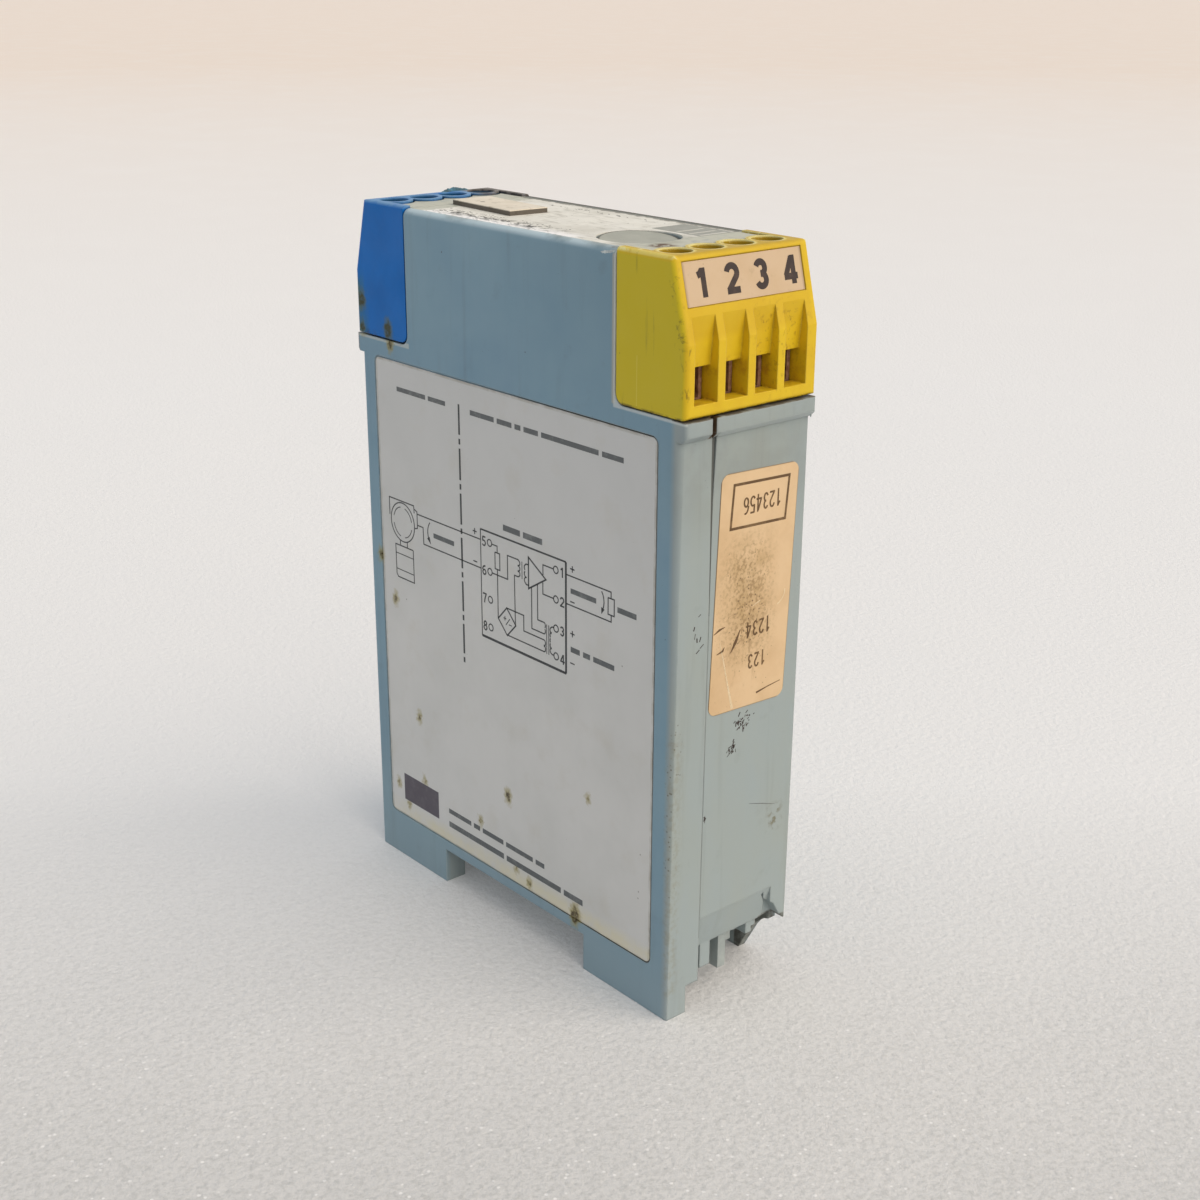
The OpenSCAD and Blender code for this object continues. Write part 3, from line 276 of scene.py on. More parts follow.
# Grey ABS: still blue on its sides, yellowed on the ends, dusty on top, with specks, scuffs and a dirty seam
casePaint = dict(name="agedGreyAbs", base="99A6A9", rough=(0.45, 0.66, 9), grain=(0.16, 0.008, 3), rounding=0.4,
                 shader=mouldedAbs, rust=paleRust, layers=[
    ("9DA49C", 0.5, clouds(14, 0.42, 0.7, 11, squash=(1, 1, 0.35))),
    (caseSides, 1, zone("x<36.8 y<-12", 0.5)), (caseSides, 1, zone("x>-36.9 x<36.9 y>12.1", 0.3)),
    ("B9BCAF", 0.85, zone("y>-10.9 z>114.1", 0.15), clouds(3, 0.3, 0.5, 21)),
    # a painted highlight along the rounded near edge of the top, pale blue and broken by clouds
    ("C3D8E2", 0.8, zone("x<25.2 y<-11 z>113.75", 0.3), clouds(5, 0.3, 0.5, 62, 6, squash=(0.6, 1, 1))),
    (tonguePaint, 0.85, zone("x>24.7 y>-10.9 z>114", 0.15), clouds(1.6, 0.3, 0.45, 22)),
    (tonguePaint, 0.7, zone("x<-24.7 y>-10.9 z>114", 0.15), clouds(1.6, 0.3, 0.45, 24)),
    # brown dirt on the top beside the cap
    ("A5A698", 0.6, zone("x>25 x<27.2 y>-6.8 y<-1.8 z>113", 0.7)),
    ("553408", 0.95, zone("x>25.9 x<28.9 y>-8 y<-4.8 z>113", 0.6), clouds(0.9, 0.4, 0.5, 67, 5)),
    (caseGrimeAndShade, 0.16, clouds(2.2, 0.56, 0.8, 7, 5, squash=(1, 1, 0.06))),
    (caseGrimeAndShade, 0.22, clouds(5, 0.6, 0.85, 19, 8)),
    # painted shade of the rim on the end below it, mixed with grime clouds
    (caseGrimeAndShade, 0.32, zone("x>37.4 z>78 z<90.6", 5), clouds(6, 0.2, 0.6, 41, 5)),
    ("C3CCC9", 0.6, edgeMask(0.22), clouds(3, 0.35, 0.6, 5)),
    ("4A443A", 0.75, specks(3.4, 0.16, 0.22, 2)),
    ("5A564C", 0.5, specks(1.5, 0.07, 0.3, 31)),
    # pits along the near upright edge, and a stain low on the far side of the end
    ("8C8B78", 0.4, zone("x>36.7 y<-10.6 z>4 z<47", 0.7), clouds(0.9, 0.46, 0.62, 63, 8)),
    ("625C48", 0.7, zone("x>36.7 y<-10.6 z>21 z<49", 0.4), specks(0.55, 0.18, 0.5, 6)),
    ("6F6A50", 0.85, zone("x>37 y>8 y<10.4 z>25.6 z<29.4", 0.9), clouds(1.3, 0.48, 0.6, 27, 6)),
    ("3E3A34", 0.8, zone("x>37 y>-10 y<-7 z>54 z<62", 1.5), specks(1.3, 0.3, 0.22, 16)),
    # the seam on the right end: brown in the rim, a dark wedge under it, a thin line below
    (seamDirt, 0.95, zone("x>36 x<39.3 y>-7.66 y<-6 z>90.8 z<93.2", 0.05)),
    (seamDirt, 0.95, zone("x>36 x<39.3 y>-7.45 y<-6.78 z>89.8 z<90.8", 0.05)),
    (seamThin, 0.85, zone("x>36 y>-5.08 z>64 z<90.3", 0.04, moved=seamLean), zone("y<-6.05", 0.02)),
    (seamThin, 0.5, zone("y>-6.17 y<-6.05 z>12 z<64.5", 0.04)),
    # painted light on the slope under the rim: paler, so that it looks as light as the wall
    ("B4BFC0", 0.5, zone("x>37.8 y>-6 z>89.9 z<90.85", 0.08)),
    # painted highlights along the cut edges of the pockets, a grey-brown patch on the left rim's near corner, and a
    # dark brown line along the end under the yellow block
    ("BFB39A", 0.55, zone("x>24.25 x<24.95 y<-12.3 z>93 z<113.6", 0.12)),
    ("D5DAD6", 0.6, zone("x>24.6 y<-12.2 z>92.5", 0.1)),
    ("C8CDC6", 0.6, zone("x<-24.6 y<-12.2 z>92.5 z<93.3", 0.1)),
    ("8F8880", 0.6, zone("x<-38.7 y<-11.6 z>90.2 z<93.3", 0.15)),
    ("55442A", 0.8, zone("x>36.5 z>92.82 z<93.2", 0.04), clouds(3, 0.25, 0.5, 33)),
    # painted shade on the broken foot, with gritty clouds; painted shade with dirt in the label's gutter, darker to
    # the right; dirt along the far top edge
    # broken foot: painted shade
    ("77766C", 0.6, brokenFoot),
    ("3B3A34", 0.75, brokenFoot, clouds(1.4, 0.42, 0.6, 35, 6)),
    ("4B4436", 0.85, zone("x>-33 x<34.2 y>-12.42 y<-12.18 z>7.8 z<90.3", 0.02), zone("x>0", 14)),
    ("454238", 0.9, zone("x<24.6 y>11.4 z>113.9", 0.1))])

yellowGrime = "4A3A16"
wells = [((32.7, y, 0), 2.3) for y in (-8.8, -3.1, 2.6, 8.3)]       # centres and radius of the round wells

# Yellow ABS: warm and even, grimy along its outer edges, with a fine mould line on its near side
yellowPaint = dict(name="yellowAbs", base="DABA1C", rough=(0.4, 0.58, 6), grain=(0.14, 0.005, 3), rounding=0.25,
                   shader=mouldedAbs, layers=[
    ("CDA71A", 0.6, clouds(7, 0.45, 0.7, 4)),
    # painted shade: the near face is a cooler, greener yellow, as it lies in the bluish shade
    ("CDBA1C", 0.9, zone("x<38.6 y<-12.2 z<113.8", 0.2)),
    ("F0D660", 0.5, edgeMask(0.18), clouds(2.5, 0.4, 0.6, 8)),
    # painted shade: darker up the slanted face and dark brown in the wells; duller on top
    ("C9A51A", 0.5, zone("x>35 y>-11.8 y<11.8 z>103.6", 0.5)),
    ("BC9C28", 0.8, zone("y>-11.6 z>114.3", 0.15), clouds(2.5, 0.25, 0.5, 64)),
    ("8A6C20", 0.65, zone("x>29.8 x<35.3 y>-11.8 y<11.8 z>100 z<114.3", 0.1)),
    # painted highlights on the rims of the wells and along the edges of the top
    ("EFDF80", 0.7, rimMask(0.55, 0.3, wells), zone("z>114.45", 0.03), clouds(1.8, 0.3, 0.5, 68, 5)),
    ("F3ECA6", 0.9, zone("x>24.6 x<36.3 z>114.1", 0.06), edgeMask(0.5)),
    ("EFE58E", 0.5, zone("x>24.6 x<36 y<-11.9 z>114.05", 0.1), clouds(1.8, 0.3, 0.5, 69, 5)),
    # painted shade in the recesses, a darker yellow-brown broken by grime clouds
    ("8A6A1C", 0.6, hollowMask(1.6), clouds(1.2, 0.3, 0.7, 6)),
    # dirt up the near outer edge, along the foot and in the grooves
    (yellowGrime, 0.6, zone("x>38 x<39.4 y<-11.6 z>93.5 z<103.5", 0.3),
     clouds(0.9, 0.55, 0.66, 9, 6, squash=(1, 1, 0.4))),
    (yellowGrime, 0.6, zone("x>37 x<38.8 y<-12 z>102.5 z<108.5", 0.4), clouds(0.8, 0.54, 0.66, 39, 6)),
    (yellowGrime, 0.6, zone("x>35.8 x<37.6 y<-12 z>108.5 z<113", 0.4), clouds(0.7, 0.55, 0.66, 65, 6)),
    ("4A3510", 0.75, zone("z<93.4", 0.1), clouds(1.5, 0.4, 0.6, 12)),
    ("7A4A14", 0.75, zone("x>35.5 x<38.9 y>0.5 y<10.6 z>94.9 z<106.5", 2.5), clouds(0.8, 0.56, 0.68, 37, 5)),
    # scratches, the mould line and dark dots
    ("6E6420", 0.5, zone("y<-12.3", 0.1), clouds(0.9, 0.62, 0.75, 15, 5, squash=(1, 1, 0.08))),
    ("E8DC70", 0.45, zone("x>29.33 x<29.45 y<-12.3 z>93.5 z<100.5", 0.03)),
    ("E9E3A8", 0.7, zone("x<30.6 z>114.2", 0.1), clouds(0.9, 0.52, 0.6, 44, 5)),
    ("A8701A", 0.6, zone("x>35.5 x<38.9 y>-11 y<10.6 z>94.7 z<100.5", 0.3), clouds(2.2, 0.5, 0.68, 45, 6)),
    ("3B3010", 0.7, specks(2.8, 0.12, 0.07, 5))])

# Blue ABS: saturated, dusty on top, with brown-black dirt on its far rim and a stain at its lower outer edge
bluePaint = dict(name="blueAbs", base="076EC2", rough=(0.4, 0.56, 6), grain=(0.14, 0.005, 3), rounding=0.25,
                 shader={"IOR": 1.53, "Specular IOR Level": 0.18}, rust=("56684E", "3D4028"), layers=[
    ("0562B0", 0.7, clouds(8, 0.4, 0.7, 2)),
    ("5F97CB", 0.2, edgeMask(0.18), clouds(2.5, 0.4, 0.6, 8)),
    ("86B0CE", 0.6, zone("z>114.35", 0.2), clouds(3, 0.25, 0.5, 3)),
    ("7D7263", 0.9, zone("x<-24 y>6.4 z>113.4", 0.9), clouds(2.5, 0.15, 0.42, 6)),
    ("3E3830", 0.8, zone("x<-24 y>7.4 z>113.4", 0.9), clouds(1.1, 0.45, 0.6, 56, 6)),
    # painted shade: darker blue in the wells, and in all recesses below
    ("1C4A66", 0.8, zone("x>-35.3 x<-29.8 y>-11.8 y<11.8 z>100 z<114.4", 0.1)),
    ("10253C", 0.6, hollowMask(1.6)),
    ("3A6F6C", 0.75, zone("x<-36.7 y<-10.5 z<102.5", 1.3), clouds(2.6, 0.36, 0.58, 14, squash=(1, 1, 0.5))),
    ("3A3320", 0.7, zone("x<-33.5 z<93.9", 0.3), clouds(1.5, 0.35, 0.6, 12))])

# Films, plates and the sticker

# Printed polyester film: smooth and satin, greyed by age, rust-spotted, cream along its lower edge
sideFilmPaint = dict(name="agedPolyesterFilm", base="D9D9D6", rough=(0.34, 0.5, 10), grain=(9, 0.025, 2),
                     shader={"IOR": 1.58, "Specular IOR Level": 0.4}, rust=paleRust, layers=[
    ("C9CAC6", 0.6, clouds(18, 0.4, 0.7, 6)),
    ("C6C8C8", 0.6, zone("z>66", 26)),
    ("BDB6A2", 0.25, clouds(7, 0.55, 0.8, 16, 6)),
    ("DDD6B6", 0.7, zone("z<10.4", 0.9), clouds(5, 0.3, 0.6, 46)),
    ("8C8674", 0.5, zone("x>-33.9 x<33.35 z>8.4 z<89.45", 0.12, outside=True), clouds(3, 0.3, 0.6, 1)),
    ("6B655A", 0.65, specks(4.2, 0.16, 0.2, 7)),
    ("857F72", 0.5, specks(1.7, 0.06, 0.3, 27))])


@recipe
def raggedEdge(tree, place, axis, first, last):
    # Rises from 0 to 1 between two places along an axis; noise shakes them by up to 1.3 mm
    ragged = addNode(tree, "TexNoise", {"Scale": 0.9, "Detail": 5}, {"Vector": place})
    sway = addNode(tree, "MapRange", {"To Min": -1.3, "To Max": 1.3}, {"Value": ragged})
    along = addNode(tree, "SeparateXYZ", {}, {"Vector": place}).node.outputs[axis]
    moved = addNode(tree, "Math ADD", {}, {0: along, 1: sway})
    return addNode(tree, "MapRange", {"From Min": first, "From Max": last}, {"Value": moved})


nearBand = zone("x>-21 x<9 y>-9.7 y<-7.3", 0.9)

# The same film on the top: whiter, its edges torn and dirty, cracked and black-specked along the near edge
topFilmPaint = dict(name="tornPolyesterFilm", base="EEEDE4", rough=(0.42, 0.62, 5), grain=(2.5, 0.06, 4),
                    shader={"IOR": 1.58}, layers=[
    ("C6C4B8", 0.6, clouds(6, 0.45, 0.72, 3, 6)),
    ("A8A494", 0.55, clouds(2.4, 0.6, 0.74, 8, 8)),
    ("B7B8AC", 0.8, zone("x>20.6 y>-11 y<2.6", 1)),
    ("FFFFFF", 1, zone("x>-22 x<14 y<-8.8", 1.2), clouds(2.0, 0.26, 0.38, 48, 5)),
    ("B4B8AC", 0.9, raggedEdge(1, -10.9, -11.1)), ("BFC1B2", 0.85, raggedEdge(0, 23.6, 24)),
    ("B9BDAE", 0.8, raggedEdge(0, -21.6, -21.9)),
    ("6C685C", 0.8, raggedEdge(1, 10.3, 10.6)),
    ("8B8878", 0.45, clouds(1.6, 0.54, 0.66, 71, 8, squash=(0.35, 1.6, 1))),
    ("2A271E", 0.95, nearBand, cracks(2.8, 0.3, 3), clouds(2.2, 0.4, 0.5, 49)),
    ("1B1914", 0.95, nearBand, specks(1.5, 0.7, 0.4, 3)),
    ("55503F", 0.75, nearBand, clouds(1.2, 0.58, 0.64, 29, 6, squash=(0.5, 1.4, 1))),
    ("3A362C", 0.75, specks(1.9, 0.17, 0.4, 13)),
    ("57523F", 0.6, specks(0.8, 0.09, 0.35, 23))])

# Cream paper strip under a clear face: warm, even, darker at its cut edges
markerPaint = dict(name="creamMarkerStrip", base="CBB292", rough=(0.36, 0.52, 4), grain=(5, 0.02, 2),
                   shader={"IOR": 1.5}, layers=[
    ("C2A680", 0.6, clouds(6, 0.4, 0.7, 6)),
    ("9A8462", 0.5, clouds(1.6, 0.62, 0.78, 26, 6)),
    ("7C6440", 0.5, zone("y>-10.95 y<10.75", 0.2, outside=True)), ("6A5638", 0.6, specks(1.8, 0.08, 0.3, 9))])

rubbedPatch = zone("y>-2.4 y<5.2 z>56.5 z<73", 2.8)
# The sticker is turned by 2 degrees on the face: its own middle and directions
stickerPlace = {"Rotation": (math.radians(2), 0, 0), "Location": (0, -0.298, -65.95)}

# Gold-tan metallised sticker: shiny and creased, with a rubbed, pitted patch down its middle
stickerPaint = dict(name="tanMetallisedFoil", base="E4C69D", rough=(0.32, 0.52, 3), grain=(5, 0.14, 6),
                    shader={"Metallic": 0.35}, layers=[
    ("CFAE82", 0.6, clouds(8, 0.4, 0.68, 5)),
    ("B99C6E", 0.75, rubbedPatch, clouds(2.4, 0.3, 0.62, 4, 12)),
    ("86693F", 0.6, rubbedPatch, clouds(0.55, 0.48, 0.6, 50, 8)),
    ("4C3820", 0.85, rubbedPatch, specks(0.6, 0.17, 0.5, 12)),
    ("7A6748", 0.65, zone("y>-3.8 y<8.5 z>49.5 z<74", 2.5), specks(0.9, 0.12, 0.3, 18)),
    ("8A6A45", 0.5, zone("y>-2.5 y<3.5 z>51 z<60", 1.5), clouds(1.5, 0.56, 0.7, 52, 6, squash=(1, 1, 0.5))),
    ("6E5232", 0.7, zone("y>-7.62 y<7.62 z>-17.92 z<17.92", 0.05, outside=True, moved=stickerPlace)),
    ("57452E", 0.7, specks(3.1, 0.14, 0.3, 8))])

# Grey ABS disc: a little warmer than the case, with a dark outline and brown dirt at its near-right rim
capPaint = dict(name="greyCapAbs", base="ACAFA5", rough=(0.42, 0.6, 3), grain=(0.2, 0.006, 3), rounding=0.12,
                shader=mouldedAbs, layers=[
    ("9C9F96", 0.7, clouds(4, 0.4, 0.7, 6, 6)),
    ("4A3A22", 0.9, zone("x>23 y>-5.9 y<-1.6", 0.5), clouds(0.9, 0.34, 0.5, 3)),
    ("46433A", 0.8, rimMask(0, 0.15, [((19.1, -3.1, 0), 5.45)])), ("55503F", 0.6, specks(1.4, 0.09, 0.3, 5))])

# Cream plastic plate, spotted brown, with painted shade, near black, on all its cut sides
tagPaint = dict(name="creamTagPlastic", base="EDE4D2", rough=(0.42, 0.58, 3), grain=(0.3, 0.008, 3), rounding=0.12,
                shader={"IOR": 1.5}, layers=[
    ("D6CDB8", 0.7, clouds(4, 0.4, 0.7, 2, 6)),
    ("9B8E74", 0.6, clouds(1.8, 0.56, 0.7, 66, 8)),
    ("4E3F2A", 0.8, specks(1.7, 0.5, 0.3, 4)),
    # cut sides: painted shade
    ("2B1F12", 0.9, zone("z<114.93", 0.05))])

# Metals and electronics: name, base colour, second colour, cloud size, grain, roughness, metallic, and what
# the eye gets

plainFinishes = dict(
    screw_steel=("tarnishedZincSteel", "8C857A", "5E4A36", 1.2, 0.15, 0.42, 1),     # dull grey with brown film
    clamp_steel=("rustyClampSteel", "A4806C", "66452F", 0.9, 0.12, 0.62, 0.3),        # brown rust over plating
    contact_brass=("tinnedBrass", "B9A06B", "9C8350", 1.5, 0.15, 0.35, 1),          # dull gold
    latch_plastic=("latchAbs", "A2ABAA", "929C9C", 3.0, 0.16, 0.5, 0),              # the grey of the ends
    spring_steel=("springWire", "A9A9A6", "85837E", 1.0, 0.2, 0.3, 1),              # bright drawn wire
    board_laminate=("greenLaminate", "2C6A3C", "235530", 5.0, 0.3, 0.38, 0),        # green under clear varnish
    ferrite=("sinteredFerrite", "3A3A3E", "2B2B2F", 1.0, 0.1, 0.6, 0),              # dark grey, gritty
    bobbin_plastic=("blackNylon", "232326", "1A1A1C", 2.0, 0.2, 0.45, 0),           # black, satin
    can_sleeve=("blueShrinkSleeve", "2A4A78", "213C62", 3.0, 0.4, 0.3, 0),          # blue, glossy
    film_capacitor_plastic=("redCapacitorCase", "9E3A22", "84301D", 3.0, 0.3, 0.35, 0),   # brick red, glossy
    chip_plastic=("blackEpoxy", "2A2A2C", "1F1F21", 1.5, 0.1, 0.55, 0),             # black, fine matt
    fuse_block_plastic=("tanPottingResin", "C2AC7A", "AA9465", 2.5, 0.3, 0.4, 0),   # tan, smooth
    resistor_enamel=("beigeEnamel", "C9A871", "B59258", 1.2, 0.3, 0.35, 0))         # beige, glossy

paints = dict(case_plastic=casePaint, yellow_plastic=yellowPaint, blue_plastic=bluePaint,
              side_film=sideFilmPaint, top_film=topFilmPaint, marker_film=markerPaint,
              sticker_foil=stickerPaint, cap_plastic=capPaint, tag_plastic=tagPaint)
finishes = {slot: makeMaterial(**paint) for slot, paint in paints.items()}
for slot, (name, base, second, size, grain, rough, metallic) in plainFinishes.items():
    patches = clouds(size, 0.38, 0.66, len(name), 6)
    finishes[slot] = makeMaterial(name, base, [(second, 0.9, patches)], (rough - 0.07, rough + 0.1, size * 1.6),
                                  (grain, 0.008, 4), 0.08, {"Metallic": metallic})


def makeCopperWire():
    # Enamelled copper wire, wound side by side: fine parallel ridges with a red-brown shine
    material, tree, place = startMaterial("enamelledCopper")
    turns = addNode(tree, "TexWave", {"bands_direction": "X", "Scale": 0.35, "Distortion": 0.6}, {"Vector": place})
    colour = layered("7A3A20", [("B8643A", 0.9, turns)])(tree, place)
    rough = addNode(tree, "MapRange", {"To Min": 0.24, "To Max": 0.4}, {"Value": turns})
    normal = addNode(tree, "Bump", {"Strength": 0.6, "Distance": 0.1 * mm}, {"Height": turns})
    shader = addNode(tree, "BsdfPrincipled", {"Metallic": 0.8},
                     {"Base Color": colour, "Roughness": rough, "Normal": normal})
    tree.links.new(shader, tree.nodes.new("ShaderNodeOutputMaterial").inputs["Surface"])
    return material


finishes["copper_wire"] = makeCopperWire()

for part in frame["record"]["subparts"]:
    mesh = cadNodes[part["node"]].data
    mesh.materials.clear()
    mesh.materials.append(finishes[part["material_slot"]])
print("materials on", len(cadNodes), "nodes")

# Printed lines: a flat profile carried along a path

inkThickness = 0.02
inkColours = (("darkScreenInk", "303437", "4B5052"), ("greyScreenInk", "5C6163", "858988"),
              ("brownBlackInk", "2B1B16", "4A362C"), ("rubbedStampInk", "5F4524", "8C7048"),
              ("greyFieldInk", "9A9C94", "ABADA4"), ("faintVioletInk", "55505A", "67626A"),
              ("paleFieldInk", "CFCFC6", "B9B8AC"), ("blackCrumbs", "24211A", "57523F"))
# Screen-printed inks: matt, thin in places
inkLine, inkSoft, inkMark, inkStamp, inkField, inkBlock, inkPale, inkCrumbs = (
    makeMaterial(name, base, [(second, 0.7, clouds(1.4, 0.5, 0.72, 3, 6))], (0.42, 0.58, 3), (0.2, 0.002, 2))
    for name, base, second in inkColours)


def unit(vectors):
    return vectors / np.linalg.norm(vectors, axis=-1, keepdims=True)


def carryBand(path, width, closed=False, height=1):
    # Ring i holds the four corners of a flat box across the path at point i: the point plus or minus half
    # the width along the mitre, at height 0 and at the full one. Width may be one number or one for each point.
    path = np.asarray(path, float)
    count = len(path)
    ahead = np.roll(path, -1, 0) - path
    behind = path - np.roll(path, 1, 0)
    if not closed:
        ahead[-1], behind[0] = behind[-1], ahead[0]
    ahead = unit(ahead)
    along = unit(ahead + unit(behind))
    across = np.stack([-along[:, 1], along[:, 0]], 1)
    stretch = 1 / np.maximum((along * ahead).sum(1), 0.35)
    half = (np.broadcast_to(width, count) / 2 * stretch)[:, None] * across
    flat = np.stack([path + half, path - half, path - half, path + half], 1)
    high = np.broadcast_to(np.array([0, 0, height, height], float), (count, 4))[:, :, None]
    points = np.concatenate([flat, high], 2).reshape(-1, 3)
    ring = np.arange(count if closed else count - 1)[:, None] * 4
    side = np.arange(4)
    after = (ring + 4) % (4 * count)
    faces = np.stack([ring + side, ring + (side + 1) % 4, after + (side + 1) % 4, after + side], 2).reshape(-1, 4)
    if not closed:
        faces = np.concatenate([faces, [[3, 2, 1, 0]], [[4 * count - 4 + k for k in range(4)]]])
    return points, faces


def joinParts(parts):
    # Puts several meshes in one pair of arrays
    starts = np.cumsum([0] + [len(points) for points, faces in parts])
    return (np.concatenate([points for points, faces in parts]),
            np.concatenate([faces + start for (points, faces), start in zip(parts, starts)]))


def addObject(name, data):
    # Puts a mesh, lamp or camera into the scene
    thing = bpy.data.objects.new(name, data)
    bpy.context.scene.collection.objects.link(thing)
    return thing


def addPiece(name, points, faces, material, smooth=False):
    # A closed mesh in the row frame, in metres, whose faces point outwards
    mesh = bpy.data.meshes.new(name)
    mesh.from_pydata((np.asarray(points) * mm).tolist(), [], np.asarray(faces).tolist())
    work = bmesh.new()
    work.from_mesh(mesh)
    bmesh.ops.remove_doubles(work, verts=work.verts, dist=1e-7)
    bmesh.ops.recalc_face_normals(work, faces=work.faces)
    work.to_mesh(mesh)
    work.free()
    mesh.shade_smooth() if smooth else mesh.shade_flat()
    mesh.materials.append(material)
    piece = addObject(name, mesh)
    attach(piece, "case")
    return piece


def arc(centre, radius, start, stop, count=12, stretch=1):
    # Points on a circle, or on an upright ellipse where stretch isn't 1
    angles = np.radians(np.linspace(start, stop, count))
    return np.stack([centre[0] + radius * np.cos(angles), centre[1] + radius * stretch * np.sin(angles)], 1)


digitStrokes = {
    "1": [[(0.36, 1), (0.36, 0)], [(0.1, 0.76), (0.22, 0.8), (0.33, 0.93)]],
    "2": [[*arc((0.3, 0.69), 0.24, 168, -30, 16), (0.1, 0.12)], [(0, 0.09), (0.62, 0.09)]],
    "3": [arc((0.28, 0.71), 0.21, 160, -95, 16), arc((0.28, 0.3), 0.22, 95, -160, 18)],
    "4": [[(0.46, 1), (0.46, 0)], [(0.41, 0.93), (0.08, 0.3)], [(0, 0.27), (0.66, 0.27)]],
    "5": [[(0.12, 0.95), (0.56, 0.95)], [(0.13, 0.98), (0.09, 0.52)], arc((0.28, 0.32), 0.26, 135, -150, 18)],
    "6": [arc((0.38, 0.5), 0.35, 75, 180, 10, 1.2), arc((0.3, 0.29), 0.24, 0, 345, 22)],
    "7": [[(0, 0.94), (0.58, 0.94)], [(0.53, 0.94), (0.33, 0.5), (0.22, 0)]],
    "8": [arc((0.3, 0.73), 0.2, 0, 345, 20), arc((0.3, 0.28), 0.24, 0, 345, 22)]}
closedStrokes = {"6": (1,), "8": (0, 1)}


def digitBands(digit, centre, height, width):
    # A plain number: its strokes, centred and scaled, each a little lower than the one that it crosses
    return [([(centre[0] + (x - 0.3) * height, centre[1] + (y - 0.5) * height) for x, y in stroke], width,
             i in closedStrokes.get(digit, ()), 1 - 0.12 * i) for i, stroke in enumerate(digitStrokes[digit])]


def coil(x, low, high, turns, reach):
    # Half-round bulges of a winding, one above the other, as one path
    step = (high - low) / turns
    angles = np.radians(np.linspace(-90, 90, 6))
    parts = [np.stack([x + reach * np.cos(angles), low + step * (i + 0.5) + step / 2 * np.sin(angles)], 1)
             for i in range(turns)]
    return np.concatenate(parts)


diagram = dict(
    plane=-12.45, line=0.2, heavy=0.42, thin=0.15, digit=1.6, digitWidth=0.26,
    box=((-6.7, 49.35), (14.2, 67.1)), divider=(-11.7, 86.0, 43.1), dash=5.1, dot=0.9, gap=0.65,
    leftRows=(65.35, 60.6, 55.95, 51.3), rightRows=(65.25, 60.57, 55.9, 51.4), leftCircle=-4.4, rightCircle=11.85,
    circle=0.55)


